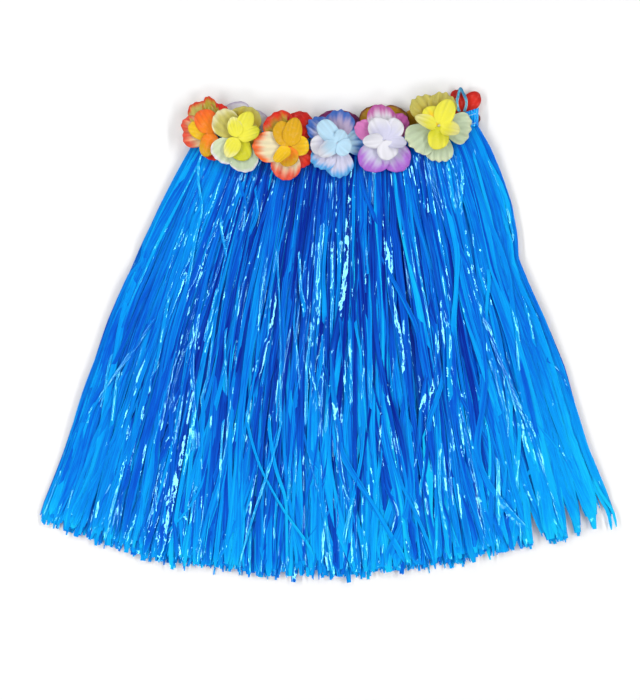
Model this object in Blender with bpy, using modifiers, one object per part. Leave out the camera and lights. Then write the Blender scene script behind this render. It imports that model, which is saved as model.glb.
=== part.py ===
"""A child's blue raffia grass skirt with a row of fabric flowers, laid flat on a table.

Units are metres and +Z is up. The skirt lies on the plane z = 0 with its waist towards +Y and its
hem towards -Y, front layer up. From the table upwards come the back flowers (face down), the back
of the waistband with the back fringe, the front of the waistband with the front fringe, and the
front flowers. Each fringe is one plain solid of the space that its loose strands fill.
"""
import math
from typing import NamedTuple

import bmesh
import bpy
from mathutils import Vector

MM = 0.001

# Waistband: one elastic loop, laid flat
BAND_LEFT = -0.118
BAND_RIGHT = 0.137
BAND_HEIGHT = 0.016
BAND_WALL = 0.0015
BAND_INNER_GAP = 0.0006
BAND_STATIONS = 20
BAND_FOLD_STEPS = 4
BAND_LOWEST_X = -0.008
BAND_LOWEST_Y = 0.171
BAND_RISE = 0.015
BAND_RISE_RUN = 0.115

# Stack of layers above the table
SEAM_GAP = 0.0003
LAYER_GAP = 0.0008
PETAL_WALL = 0.001
BACK_STACK = 0.0052
BAND_TOP_Z = BACK_STACK + 2 * BAND_WALL + BAND_INNER_GAP

# Fringe: hem arc, columns of strands and how the strands bunch into ridges
HEM_LOWEST_X = -0.005
HEM_LOWEST_Y = -0.221
HEM_RADIUS = 0.596
FRINGE_COLUMNS = 46
RIDGE_DEPTH = 0.26
EDGE_LOFT = 0.4
EDGE_COLUMNS = 3
RAGGED_TIPS = 0.022
FRONT_SHORTER = 0.012
GAP_HALF_COLUMNS = 0.4

# Flowers: two die-cut layers of five petals on a plastic stud
PETALS = 5
PETAL_WAIST = 0.5
OUTER_RADIUS = 0.0262
INNER_RADIUS = 0.0172
BACK_OUTER_RADIUS = 0.025
OUTER_RISE = 0.0015
INNER_RISE = 0.0052
STUD_SHAFT_RADIUS = 0.0012
STUD_HOLE_RADIUS = 0.0016
STUD_HEAD_RADIUS = 0.0022
STUD_HEAD_HOLE_RADIUS = 0.0026
STUD_HEAD_HEIGHT = 0.0014

# Tie loop: a thin twisted ribbon that stands out of the band's upper edge
TIE_RADIUS = 0.0008
TIE_X = 0.1215


class Section(NamedTuple):
    """One cross-section of the fringe, from the waistband (down 0) to the hem (down 1)."""

    down: float
    left: float
    right: float
    underside: float
    loft: float


FRINGE_SECTIONS = (
    Section(down=0.00, left=-0.1180, right=0.1370, underside=0.0052, loft=0.0014),
    Section(down=0.07, left=-0.1306, right=0.1505, underside=0.0052, loft=0.0014),
    Section(down=0.13, left=-0.1414, right=0.1590, underside=0.0022, loft=0.0030),
    Section(down=0.21, left=-0.1555, right=0.1687, underside=0.0000, loft=0.0044),
    Section(down=0.35, left=-0.1775, right=0.1755, underside=0.0000, loft=0.0050),
    Section(down=0.50, left=-0.2000, right=0.2000, underside=0.0000, loft=0.0050),
    Section(down=0.84, left=-0.2405, right=0.2390, underside=0.0000, loft=0.0036),
    Section(down=1.00, left=-0.2620, right=0.2610, underside=0.0000, loft=0.0022),
)


class HemGap(NamedTuple):
    """A gap between two bunches of strands, from its tip at the column down to the hem."""

    column: int
    tip_down: float


HEM_GAPS = (
    HemGap(column=41, tip_down=0.86),
    HemGap(column=44, tip_down=0.91),
)


class Flower(NamedTuple):
    """One flower: where it sits on the band, how it leans, and its two petal colours."""

    name: str
    x: float
    above_line: float
    height: float
    lean_deg: float
    turn_deg: float
    tuck: float
    outer_colour: tuple
    inner_colour: tuple


# height is the outer layer's centre above the table. A positive lean lowers the +X side, and a
# positive tuck shortens the petals on the +X side, where they are folded away.
FRONT_FLOWERS = (
    Flower("flower_front_1", -0.1001, -0.0013, 0.0115, -2.0, 100.0, 0.55, (0.80, 0.35, 0.12), (0.95, 0.40, 0.02)),
    Flower("flower_front_2", -0.0790, -0.0019, 0.0150, 5.0, 60.0, 0.0, (0.62, 0.62, 0.32), (0.88, 0.84, 0.06)),
    Flower("flower_front_3", -0.0327, -0.0045, 0.0134, 5.0, 54.0, 0.0, (0.75, 0.08, 0.03), (0.88, 0.55, 0.01)),
    Flower("flower_front_4", 0.0103, -0.0010, 0.0119, 5.0, 76.0, 0.0, (0.10, 0.28, 0.72), (0.50, 0.76, 0.90)),
    Flower("flower_front_5", 0.0523, -0.0024, 0.0112, 5.0, 98.0, 0.0, (0.48, 0.18, 0.62), (0.78, 0.76, 0.90)),
    Flower("flower_front_6", 0.1006, 0.0015, 0.0111, 4.0, 62.0, 0.0, (0.56, 0.58, 0.24), (0.90, 0.82, 0.08)),
)
BACK_FLOWERS = (
    Flower("flower_back_1", -0.0774, 0.006, 0.0, 0.0, 90.0, 0.0, (0.30, 0.45, 0.75), (0.70, 0.80, 0.90)),
    Flower("flower_back_2", -0.0330, 0.001, 0.0026, 0.0, 90.0, 0.0, (0.70, 0.66, 0.20), (0.90, 0.80, 0.10)),
    Flower("flower_back_3", 0.0108, 0.004, 0.0, 0.0, 54.0, 0.0, (0.35, 0.02, 0.20), (0.60, 0.20, 0.45)),
    Flower("flower_back_4", 0.0522, 0.006, 0.0026, 0.0, 54.0, 0.0, (0.45, 0.27, 0.02), (0.70, 0.45, 0.05)),
    Flower("flower_back_5", 0.0909, 0.003, 0.0, 0.0, 90.0, 0.0, (0.20, 0.35, 0.70), (0.60, 0.75, 0.90)),
    Flower("flower_back_6", 0.1240, 0.005, 0.0026, 0.0, 65.0, 0.42, (0.55, 0.01, 0.01), (0.75, 0.08, 0.03)),
)


class LoopPoint(NamedTuple):
    """A point of the tie loop: sideways from its middle, above the band's edge, above the table."""

    sideways: float
    above_edge: float
    height: float


TIE_ROUTE = (
    LoopPoint(-0.0020, 0.0014, 0.0066),
    LoopPoint(-0.0034, 0.0060, 0.0068),
    LoopPoint(-0.0040, 0.0110, 0.0071),
    LoopPoint(-0.0028, 0.0165, 0.0074),
    LoopPoint(-0.0010, 0.0222, 0.0076),
    LoopPoint(0.0016, 0.0175, 0.0074),
    LoopPoint(0.0040, 0.0120, 0.0071),
    LoopPoint(0.0042, 0.0070, 0.0068),
    LoopPoint(0.0026, 0.0014, 0.0066),
)


def clear_scene():
    """Remove the objects that the scene starts with."""
    for leftover in list(bpy.data.objects):
        bpy.data.objects.remove(leftover, do_unlink=True)


def make_material(name, colour, roughness):
    """A Principled material of one colour."""
    material = bpy.data.materials.new(name)
    material.use_nodes = True
    shader = material.node_tree.nodes["Principled BSDF"]
    shader.inputs["Base Color"].default_value = (*colour, 1.0)
    shader.inputs["Roughness"].default_value = roughness
    shader.inputs["Metallic"].default_value = 0.0
    return material


def add_object(name, mesh, collection, colour, roughness, parent=None):
    """Link a mesh as a named part with its own material."""
    part = bpy.data.objects.new(name, mesh)
    part.data.materials.append(make_material(name, colour, roughness))
    part.parent = parent
    collection.objects.link(part)
    return part


def mesh_from(name, points, faces, closed):
    """A smooth mesh from points and faces. A closed one has its faces turned outwards."""
    shape = bmesh.new()
    corners = [shape.verts.new(point) for point in points]
    for face in faces:
        shape.faces.new([corners[index] for index in face])
    if closed:
        bmesh.ops.recalc_face_normals(shape, faces=shape.faces)
    mesh = bpy.data.meshes.new(name)
    shape.to_mesh(mesh)
    shape.free()
    mesh.shade_smooth()
    mesh.set_sharp_from_angle(angle=math.radians(40))
    return mesh


def add_wall(part, thickness, offset):
    """Give an open surface its wall. Offset -1 is below the surface and +1 above it."""
    wall = part.modifiers.new("wall", "SOLIDIFY")
    wall.thickness = thickness
    wall.offset = offset


def mix(low, high, share):
    """The value that lies the given share of the way from low to high."""
    return low + (high - low) * share


def band_line(x):
    """The height in Y of the waistband's middle: it dips below the flowers' row."""
    return BAND_LOWEST_Y + BAND_RISE * ((x - BAND_LOWEST_X) / BAND_RISE_RUN) ** 2


def hem_line(x):
    """The hem's arc in Y."""
    return HEM_LOWEST_Y + HEM_RADIUS - math.sqrt(HEM_RADIUS ** 2 - (x - HEM_LOWEST_X) ** 2)


def section_at(down):
    """The fringe's cross-section at a share of its length, between the rows of the table."""
    for above, below in zip(FRINGE_SECTIONS, FRINGE_SECTIONS[1:]):
        if down <= below.down:
            share = (down - above.down) / (below.down - above.down)
            return Section(*(mix(a, b, share) for a, b in zip(above, below)))
    return FRINGE_SECTIONS[-1]


def fringe_place(across, down):
    """The plan position of a strand at a share of the width and of the length."""
    section = section_at(down)
    top_x = mix(BAND_LEFT, BAND_RIGHT, across)
    hem_x = mix(FRINGE_SECTIONS[-1].left, FRINGE_SECTIONS[-1].right, across)
    top_y = band_line(top_x) - BAND_HEIGHT / 2 - SEAM_GAP
    return mix(section.left, section.right, across), mix(top_y, hem_line(hem_x), down)


def across_of(column):
    """A column's share of the width. The columns beside a gap stand close to it."""
    for gap in HEM_GAPS:
        if abs(column - gap.column) == 1:
            return (gap.column + GAP_HALF_COLUMNS * (column - gap.column)) / FRINGE_COLUMNS
    return column / FRINGE_COLUMNS


def tip_of(column):
    """How far down a column of strands reaches: ragged, and short where bunches part."""
    for gap in HEM_GAPS:
        if gap.column == column:
            return gap.tip_down
    return 1.0 - RAGGED_TIPS * ((column * 5) % 8) / 8


def fullness(column, shift):
    """How full the fringe is at a column: ridged, and thin towards its two sides."""
    ridge = 1.0 - RIDGE_DEPTH * ((column + shift) % 2) * (0.6 + 0.4 * math.sin(1.7 * column + shift))
    from_side = min(column, FRINGE_COLUMNS - column)
    edge = min(1.0, EDGE_LOFT + (1.0 - EDGE_LOFT) * from_side / EDGE_COLUMNS)
    return ridge * edge


def fringe_column(column, is_front):
    """The points of one column of a fringe: its places with the heights of both faces."""
    across = across_of(column)
    tip = tip_of(column) - (FRONT_SHORTER if is_front else 0.0)
    rows = []
    for row in FRINGE_SECTIONS:
        down = row.down * tip
        x, y = fringe_place(across, down)
        section = section_at(down)
        low = section.underside
        high = low + section.loft * fullness(column, shift=0)
        if is_front:
            low = high + LAYER_GAP
            high = low + section.loft * fullness(column, shift=1)
        rows.append((x, y, low, high))
    return rows


def build_fringe(name, is_front, collection, colour):
    """One fringe as a closed ridged solid, column by column."""
    first = 1 if is_front else 0
    columns = [fringe_column(c, is_front) for c in range(first, FRINGE_COLUMNS + 1 - first)]
    rows = len(FRINGE_SECTIONS)
    points = [(x, y, low) for column in columns for x, y, low, _ in column]
    points += [(x, y, high) for column in columns for x, y, _, high in column]
    upper = len(columns) * rows
    faces = []
    for c in range(len(columns) - 1):
        for r in range(rows - 1):
            quad = (c * rows + r, (c + 1) * rows + r, (c + 1) * rows + r + 1, c * rows + r + 1)
            faces.append(quad)
            faces.append(tuple(upper + index for index in reversed(quad)))
        for r in (0, rows - 1):
            here, there = c * rows + r, (c + 1) * rows + r
            faces.append((here, there, upper + there, upper + here))
    for c in (0, len(columns) - 1):
        for r in range(rows - 1):
            here, there = c * rows + r, c * rows + r + 1
            faces.append((here, there, upper + there, upper + here))
    return add_object(name, mesh_from(name, points, faces, closed=True), collection, colour, 0.3)


def band_path():
    """The loop that the waistband's middle surface follows in X and Z, once round."""
    low = BACK_STACK + BAND_WALL / 2
    high = BAND_TOP_Z - BAND_WALL / 2
    radius = (high - low) / 2
    middle = (high + low) / 2
    path = []
    for side, end_x in ((1, BAND_RIGHT - radius), (-1, BAND_LEFT + radius)):
        for step in range(BAND_FOLD_STEPS + 1):
            angle = math.radians(-90 + 180 * step / BAND_FOLD_STEPS)
            path.append((end_x + side * radius * math.cos(angle), middle + side * radius * math.sin(angle)))
        start_x, stop_x = sorted((BAND_LEFT + radius, BAND_RIGHT - radius), reverse=side > 0)
        z = high if side > 0 else low
        for station in range(1, BAND_STATIONS):
            path.append((mix(start_x, stop_x, station / BAND_STATIONS), z))
    return path


def build_waistband(collection):
    """The flattened elastic loop: an open strip round the path, given its wall."""
    path = band_path()
    points = []
    for x, z in path:
        y = band_line(x)
        points += [(x, y - BAND_HEIGHT / 2, z), (x, y + BAND_HEIGHT / 2, z)]
    count = len(path)
    faces = []
    for station in range(count):
        here, there = 2 * station, 2 * ((station + 1) % count)
        faces.append((here, there, there + 1, here + 1))
    strip = mesh_from("waistband", points, faces, closed=False)
    band = add_object("waistband", strip, collection, (0.0, 0.25, 0.75), 0.35)
    add_wall(band, BAND_WALL, offset=0.0)
    return band


def petal_reach(angle, turn, tuck):
    """How far a five-petal layer reaches at an angle, as a share of its radius."""
    lobe = abs(math.cos(PETALS / 2 * (angle - turn))) ** 0.5
    return (PETAL_WAIST + (1.0 - PETAL_WAIST) * lobe) * (1.0 - tuck * max(0.0, math.cos(angle)))


def petal_mesh(name, radius, hole, rise, flower, steps, rings):
    """An open layer of five petals round a hole, saucer-shaped by its rise at the rim."""
    turn = math.radians(flower.turn_deg)
    count = PETALS * steps
    points = []
    for ring in range(rings + 1):
        for index in range(count):
            angle = turn + 2 * math.pi * index / count
            reach = mix(hole, radius * petal_reach(angle, turn, flower.tuck), ring / rings)
            height = rise * (reach / radius) ** 2
            points.append((reach * math.cos(angle), reach * math.sin(angle), height))
    faces = []
    for ring in range(rings):
        for index in range(count):
            near, far = ring * count + index, (ring + 1) * count + index
            step = (index + 1) % count - index
            faces.append((near, far, far + step, near + step))
    return mesh_from(name, points, faces, closed=False)


def stud_mesh(name, profile):
    """The open profile of a stud, from its top on the axis down its outer side."""
    mesh = bpy.data.meshes.new(name)
    edges = [(index, index + 1) for index in range(len(profile) - 1)]
    mesh.from_pydata([(radius, 0.0, z) for radius, z in profile], edges, [])
    return mesh


def add_turning(part, steps):
    """Turn a profile round Z into a closed solid."""
    screw = part.modifiers.new("turning", "SCREW")
    screw.steps = steps
    screw.render_steps = steps
    screw.use_merge_vertices = True
    screw.merge_threshold = 0.0001


def place_flower(flower, height, collection):
    """The empty that carries a flower's layers, on the band and leaning as its row says."""
    place = bpy.data.objects.new(flower.name + "_place", None)
    place.location = (flower.x, band_line(flower.x) + flower.above_line, height)
    place.rotation_euler = (0.0, math.radians(flower.lean_deg), 0.0)
    collection.objects.link(place)
    return place


def build_front_flower(flower, collection):
    """A front flower: saucer of outer petals, cup of inner petals and the stud through both."""
    place = place_flower(flower, flower.height, collection)
    outer_name = flower.name + "_outer"
    outer_shape = petal_mesh(outer_name, OUTER_RADIUS, STUD_HOLE_RADIUS, OUTER_RISE, flower, 6, 2)
    outer = add_object(outer_name, outer_shape, collection, flower.outer_colour, 0.7, place)
    add_wall(outer, PETAL_WALL, offset=-1.0)

    inner_name = flower.name + "_inner"
    inner_shape = petal_mesh(inner_name, INNER_RADIUS, STUD_HOLE_RADIUS, INNER_RISE, flower, 5, 2)
    inner = add_object(inner_name, inner_shape, collection, flower.inner_colour, 0.7, place)
    inner.location.z = PETAL_WALL + SEAM_GAP
    add_wall(inner, PETAL_WALL, offset=-1.0)

    head_z = PETAL_WALL + 2 * SEAM_GAP
    foot_z = BAND_TOP_Z + LAYER_GAP - flower.height
    profile = (
        (0.0, head_z + STUD_HEAD_HEIGHT),
        (0.6 * STUD_HEAD_RADIUS, head_z + 0.85 * STUD_HEAD_HEIGHT),
        (STUD_HEAD_RADIUS, head_z + 0.3 * STUD_HEAD_HEIGHT),
        (0.9 * STUD_HEAD_RADIUS, head_z),
        (STUD_SHAFT_RADIUS, head_z),
        (STUD_SHAFT_RADIUS, foot_z),
        (0.0, foot_z),
    )
    stud_name = flower.name + "_stud"
    stud = add_object(stud_name, stud_mesh(stud_name, profile), collection, (0.85, 0.83, 0.75), 0.25, place)
    add_turning(stud, 8)
    return [outer, inner, stud]


def build_back_flower(flower, collection):
    """A back flower, pressed flat and face down: inner petals lowest, outer petals above them."""
    place = place_flower(flower, flower.height, collection)
    inner_name = flower.name + "_inner"
    inner_shape = petal_mesh(inner_name, INNER_RADIUS, STUD_HEAD_HOLE_RADIUS, 0.0, flower, 4, 1)
    inner = add_object(inner_name, inner_shape, collection, flower.inner_colour, 0.7, place)
    add_wall(inner, PETAL_WALL, offset=1.0)

    outer_name = flower.name + "_outer"
    outer_shape = petal_mesh(outer_name, BACK_OUTER_RADIUS, STUD_HOLE_RADIUS, 0.0, flower, 4, 1)
    outer = add_object(outer_name, outer_shape, collection, flower.outer_colour, 0.7, place)
    outer.location.z = PETAL_WALL + SEAM_GAP
    add_wall(outer, PETAL_WALL, offset=1.0)

    top_z = BACK_STACK - SEAM_GAP - flower.height
    profile = (
        (0.0, top_z),
        (STUD_SHAFT_RADIUS, top_z),
        (STUD_SHAFT_RADIUS, PETAL_WALL),
        (STUD_HEAD_RADIUS, PETAL_WALL),
        (STUD_HEAD_RADIUS, 0.0),
        (0.0, 0.0),
    )
    stud_name = flower.name + "_stud"
    stud = add_object(stud_name, stud_mesh(stud_name, profile), collection, (0.85, 0.83, 0.75), 0.25, place)
    add_turning(stud, 8)
    return [outer, inner, stud]


def build_tie_loop(collection):
    """The ribbon loop: a thin tube along its route, made a mesh with closed ends."""
    edge_y = band_line(TIE_X) + BAND_HEIGHT / 2
    curve = bpy.data.curves.new("tie_loop_route", "CURVE")
    curve.dimensions = "3D"
    curve.bevel_depth = TIE_RADIUS
    curve.bevel_resolution = 2
    curve.use_fill_caps = True
    spline = curve.splines.new("POLY")
    spline.points.add(len(TIE_ROUTE) - 1)
    for point, stop in zip(spline.points, TIE_ROUTE):
        point.co = (TIE_X + stop.sideways, edge_y + stop.above_edge, stop.height, 1.0)
    route = bpy.data.objects.new("tie_loop_route", curve)
    collection.objects.link(route)
    bpy.context.view_layer.update()
    tube = bpy.data.meshes.new_from_object(route.evaluated_get(bpy.context.evaluated_depsgraph_get()))
    bpy.data.objects.remove(route, do_unlink=True)
    shape = bmesh.new()
    shape.from_mesh(tube)
    bmesh.ops.remove_doubles(shape, verts=shape.verts, dist=0.00001)
    bmesh.ops.recalc_face_normals(shape, faces=shape.faces)
    shape.to_mesh(tube)
    shape.free()
    tube.materials.clear()
    return add_object("tie_loop", tube, collection, (0.05, 0.35, 0.70), 0.3)


def stand_on_origin(parts):
    """Move everything so that the middle of the object's box is at the origin in X and Y."""
    bpy.context.view_layer.update()
    graph = bpy.context.evaluated_depsgraph_get()
    corners = []
    for part in parts:
        shown = part.evaluated_get(graph)
        corners += [shown.matrix_world @ Vector(corner) for corner in shown.bound_box]
    lows = [min(corner[axis] for corner in corners) for axis in range(2)]
    highs = [max(corner[axis] for corner in corners) for axis in range(2)]
    shift = Vector((-(lows[0] + highs[0]) / 2, -(lows[1] + highs[1]) / 2, 0.0))
    for carrier in {part.parent or part for part in parts}:
        carrier.location += shift


def main():
    """Build every piece of the skirt."""
    clear_scene()
    collection = bpy.data.collections.new("grass_skirt")
    bpy.context.scene.collection.children.link(collection)
    parts = [
        build_fringe("fringe_back", False, collection, (0.0, 0.22, 0.72)),
        build_fringe("fringe_front", True, collection, (0.0, 0.30, 0.85)),
        build_waistband(collection),
        build_tie_loop(collection),
    ]
    for flower in BACK_FLOWERS:
        parts += build_back_flower(flower, collection)
    for flower in FRONT_FLOWERS:
        parts += build_front_flower(flower, collection)
    stand_on_origin(parts)


main()
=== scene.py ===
"""The looks of a child's blue film grass skirt that lies flat: strands, waistband and flowers.

Every size is in metres. Tables are in the skirt's own plan, whose zero is where the waistband's
length is measured from; Layout moves them into the frame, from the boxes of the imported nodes.
"""
import logging
import math
from dataclasses import dataclass
from enum import Enum
from typing import NamedTuple, Sequence

import bmesh
import bpy
import numpy as np
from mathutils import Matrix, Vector


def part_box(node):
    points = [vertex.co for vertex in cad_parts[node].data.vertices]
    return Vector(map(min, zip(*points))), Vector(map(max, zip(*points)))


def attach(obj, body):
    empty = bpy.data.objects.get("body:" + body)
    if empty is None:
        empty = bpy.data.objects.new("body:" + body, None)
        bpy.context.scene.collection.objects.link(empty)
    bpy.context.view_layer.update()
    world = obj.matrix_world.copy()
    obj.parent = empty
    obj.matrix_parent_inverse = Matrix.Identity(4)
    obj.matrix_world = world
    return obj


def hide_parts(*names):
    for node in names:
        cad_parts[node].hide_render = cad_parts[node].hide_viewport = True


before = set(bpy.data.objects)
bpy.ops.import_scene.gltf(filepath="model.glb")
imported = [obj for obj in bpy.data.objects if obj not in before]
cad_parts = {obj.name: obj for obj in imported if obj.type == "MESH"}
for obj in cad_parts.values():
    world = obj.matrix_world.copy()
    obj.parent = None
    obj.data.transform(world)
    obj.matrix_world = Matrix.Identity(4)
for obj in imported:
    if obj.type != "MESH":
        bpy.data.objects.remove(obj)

LOG = logging.getLogger("grass_skirt")
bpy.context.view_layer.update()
BODY = "root"
MM_PER_M = 1000.0
TABLE_CLEARANCE = 0.0002
Colour = tuple[float, float, float]
Pair = tuple[np.ndarray, np.ndarray]


# --------------------------------------------------------------------------- shader expressions


class Sock:
    """A shader socket that takes part in Python arithmetic by adding Math nodes."""

    def __init__(self, tree: "Shader", socket: bpy.types.NodeSocket) -> None:
        """Wrap a socket of a shader's tree."""
        self.tree = tree
        self.socket = socket

    def _math(self, operation: str, first: object, second: object) -> "Sock":
        """Add one Math node for an operation on two values or sockets."""
        return self.tree.node("ShaderNodeMath", {"operation": operation}, {0: first, 1: second})

    def __add__(self, other: object) -> "Sock":
        """Sum."""
        return self._math("ADD", self, other)

    __radd__ = __add__

    def __mul__(self, other: object) -> "Sock":
        """Product."""
        return self._math("MULTIPLY", self, other)

    __rmul__ = __mul__

    def __sub__(self, other: object) -> "Sock":
        """Difference."""
        return self._math("SUBTRACT", self, other)

    def __rsub__(self, other: object) -> "Sock":
        """Difference, reflected."""
        return self._math("SUBTRACT", other, self)

    def power(self, exponent: float) -> "Sock":
        """This value to a power."""
        return self._math("POWER", self, exponent)

    def clamp(self) -> "Sock":
        """This value held between 0 and 1."""
        settings = {"operation": "ADD", "use_clamp": True}
        return self.tree.node("ShaderNodeMath", settings, {0: self, 1: 0.0})


class Shader:
    """Builds one material's node tree."""

    def __init__(self, name: str) -> None:
        """Start a material with an empty tree and its output.

        Args:
            name: Name of what is made.
        """
        self.material = bpy.data.materials.new(name)
        self.material.use_nodes = True
        self.tree = self.material.node_tree
        self.tree.nodes.clear()
        self.output = self.tree.nodes.new("ShaderNodeOutputMaterial")

    def node(self, kind: str, settings: dict, sockets: dict, result: str | int = 0) -> Sock:
        """Add any node.

        Args:
            kind: The node's type.
            settings: Its properties, set first. "stops" fills a colour ramp.
            sockets: Values or sockets by input name or index.
            result: The output that is wanted.

        Returns:
            The wanted output as a Sock.
        """
        added = self.tree.nodes.new(kind)
        for key, value in settings.items():
            if key == "stops":
                self._fill_ramp(added.color_ramp, value)
            else:
                setattr(added, key, value)
        for key, value in sockets.items():
            if isinstance(value, Sock):
                self.tree.links.new(value.socket, added.inputs[key])
            else:
                added.inputs[key].default_value = value
        return Sock(self, added.outputs[result])

    @staticmethod
    def _fill_ramp(ramp: bpy.types.ColorRamp, stops: Sequence[tuple[float, Colour]]) -> None:
        """Set a colour ramp's stops from (position, colour) pairs.

        Args:
            ramp: The colour ramp.
            stops: Pairs of a position and a colour.
        """
        while len(ramp.elements) > 2:
            ramp.elements.remove(ramp.elements[-1])
        for index, (position, colour) in enumerate(stops):
            element = ramp.elements[index] if index < 2 else ramp.elements.new(position)
            element.position = position
            element.color = (*colour, 1.0)

    def mix(self, share: object, low: object, high: object, blend: str = "MIX") -> Sock:
        """Mix two colours by a share.

        Args:
            share: How much of the second colour shows.
            low: The colour at 0.
            high: The colour at 1.
            blend: Blender's name for the way of mixing.

        Returns:
            The mixed colour.
        """
        settings = {"data_type": "RGBA", "blend_type": blend}
        sockets = {0: share, 6: self._colour(low), 7: self._colour(high)}
        return self.node("ShaderNodeMix", settings, sockets, 2)

    @staticmethod
    def _colour(value: object) -> object:
        """A plain colour gets its alpha; a socket stays as it is."""
        return value if isinstance(value, Sock) else (*value, 1.0)

    def attribute(self, name: str, result: str = "Fac") -> Sock:
        """An attribute of the piece's own mesh."""
        return self.node("ShaderNodeAttribute", {"attribute_name": name}, {}, result)

    def noise(self, vector: Sock, scale: float, detail: float = 2.0) -> Sock:
        """Noise from 0 to 1 at a place."""
        sockets = {"Vector": vector, "Scale": scale, "Detail": detail}
        return self.node("ShaderNodeTexNoise", {}, sockets)

    def place(self) -> Sock:
        """Object coordinates."""
        return self.node("ShaderNodeTexCoord", {}, {}, "Object")

    def stretched(self, vector: Sock, scale: Colour) -> Sock:
        """A vector scaled by a Mapping node."""
        return self.node("ShaderNodeMapping", {}, {"Vector": vector, "Scale": scale})

    def bump(self, height: Sock, strength: float, distance: float) -> Sock:
        """A bumped normal from a height."""
        sockets = {"Height": height, "Strength": strength, "Distance": distance}
        return self.node("ShaderNodeBump", {}, sockets)

    def principled(self, sockets: dict) -> bpy.types.Material:
        """Finish the material with a Principled shader.

        Args:
            sockets: Its inputs by name.

        Returns:
            The finished material.
        """
        shader = self.node("ShaderNodeBsdfPrincipled", {}, sockets)
        self.tree.links.new(shader.socket, self.output.inputs["Surface"])
        return self.material


# --------------------------------------------------------------------------- finishes


@dataclass(frozen=True)
class FilmFinish:
    """Crinkled glossy plastic film, deeper or paler by the strand's shade, which carries painted shade and
    light, with painted highlights along the ribbons' edges.
    """

    name: str = "blue_film"
    deep: Colour = (0.0, 0.008, 0.31)
    middle: Colour = (0.0, 0.100, 0.70)
    bright: Colour = (0.0, 0.350, 0.98)
    pale: Colour = (0.006, 0.590, 1.0)
    sheen: Colour = (0.30, 0.97, 1.0)
    crease_run: float = 2.3
    crinkle_per_m: float = 290.0
    crinkle_depth: float = 0.0010

    def material(self) -> bpy.types.Material:
        """Build the material.

        Returns:
            The material.
        """
        s = Shader(self.name)
        place, side = s.place(), s.attribute("film_side")
        across = s.node("ShaderNodeCombineXYZ", {}, {"Z": side * 2.6})
        run = s.attribute("film_run", "Vector")
        along = s.node("ShaderNodeVectorMath", {"operation": "ADD"}, {0: run, 1: across})
        streak = s.noise(along, 1.0, 4.0)
        # Painted highlight: the ribbons' edges are painted paler in places, as edges that catch the light.
        rim = (side * side).power(5.0) * (s.noise(along, 0.7, 1.0) * 0.6 - 0.1)
        calm, fine = s.attribute("calm"), s.noise(along, 3.2, 2.0)
        broad = (streak - 0.5) * (1.05 - calm * 0.60) + (fine - 0.5) * (0.12 + calm * 0.40)
        # The shade attribute brings in the painted shade and light laid on each strand.
        tone = (s.attribute("shade") + broad + rim).clamp()
        stops = ((0.0, self.deep), (0.34, self.middle), (0.68, self.bright), (1.0, self.pale))
        colour = s.node("ShaderNodeValToRGB", {"stops": stops}, {"Fac": tone}, "Color")
        crease = s.noise(s.stretched(along, (self.crease_run, 1.0, 0.30)), 1.0, 0.0)
        crinkle = s.noise(place, self.crinkle_per_m, 0.0)
        patch = ((s.noise(place, 46.0, 1.0) - 0.46) * 8.0).clamp()
        height = crease + crinkle * (0.35 + calm * 0.38) * (patch * 0.85 + 0.15)
        return s.principled(
            {
                "Base Color": colour,
                "Roughness": 0.05 + (streak - 0.5).clamp() * 0.2,
                "IOR": 1.5,
                "Specular IOR Level": 1.0,
                "Specular Tint": (*self.sheen, 1.0),
                "Alpha": s.attribute("clear"),
                "Normal": s.bump(height, 0.6, self.crinkle_depth),
            }
        )


@dataclass(frozen=True)
class FloorFinish:
    """A plain pale floor, very faintly mottled."""

    name: str = "pale_floor"
    colour: Colour = (0.95, 0.95, 0.95)
    shade: Colour = (0.92, 0.92, 0.925)

    def material(self) -> bpy.types.Material:
        """Build the material.

        Returns:
            The material.
        """
        s = Shader(self.name)
        mottle = s.noise(s.place(), 5.0)
        colour = s.mix(mottle, self.colour, self.shade)
        rough = 0.85 + mottle * 0.1
        return s.principled({"Base Color": colour, "Roughness": rough, "Specular IOR Level": 0.2})


# --------------------------------------------------------------------------- layout


class Section(NamedTuple):
    """One cross-section of the fringe: its edges, its underside and one layer's loft."""

    down: float
    left: float
    right: float
    underside: float
    loft: float


SECTIONS = (
    Section(down=0.00, left=-0.1180, right=0.1370, underside=0.0052, loft=0.0014),
    Section(down=0.07, left=-0.1306, right=0.1505, underside=0.0050, loft=0.0015),
    Section(down=0.13, left=-0.1414, right=0.1590, underside=0.0022, loft=0.0030),
    Section(down=0.21, left=-0.1555, right=0.1687, underside=0.0006, loft=0.0044),
    Section(down=0.29, left=-0.1690, right=0.1745, underside=0.0004, loft=0.0048),
    Section(down=0.35, left=-0.1775, right=0.1757, underside=0.0004, loft=0.0050),
    Section(down=0.42, left=-0.1885, right=0.1865, underside=0.0004, loft=0.0050),
    Section(down=0.50, left=-0.2000, right=0.2000, underside=0.0004, loft=0.0050),
    Section(down=0.63, left=-0.2160, right=0.2178, underside=0.0004, loft=0.0046),
    Section(down=0.84, left=-0.2405, right=0.2385, underside=0.0004, loft=0.0036),
    Section(down=1.00, left=-0.2620, right=0.2610, underside=0.0004, loft=0.0024),
)


class HemGap(NamedTuple):
    """A gap between bunches: its share of the width, where it opens and its half width at the hem."""

    across: float
    opens: float
    half: float


HEM_TRIM_ACROSS = (0.0, 0.10, 0.30, 0.42, 0.66, 0.80, 0.88, 0.92, 0.98, 1.0)
HEM_TRIM = (0.0, -0.002, 0.002, 0.014, 0.013, 0.008, 0.000, -0.016, -0.018, -0.004)

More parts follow.
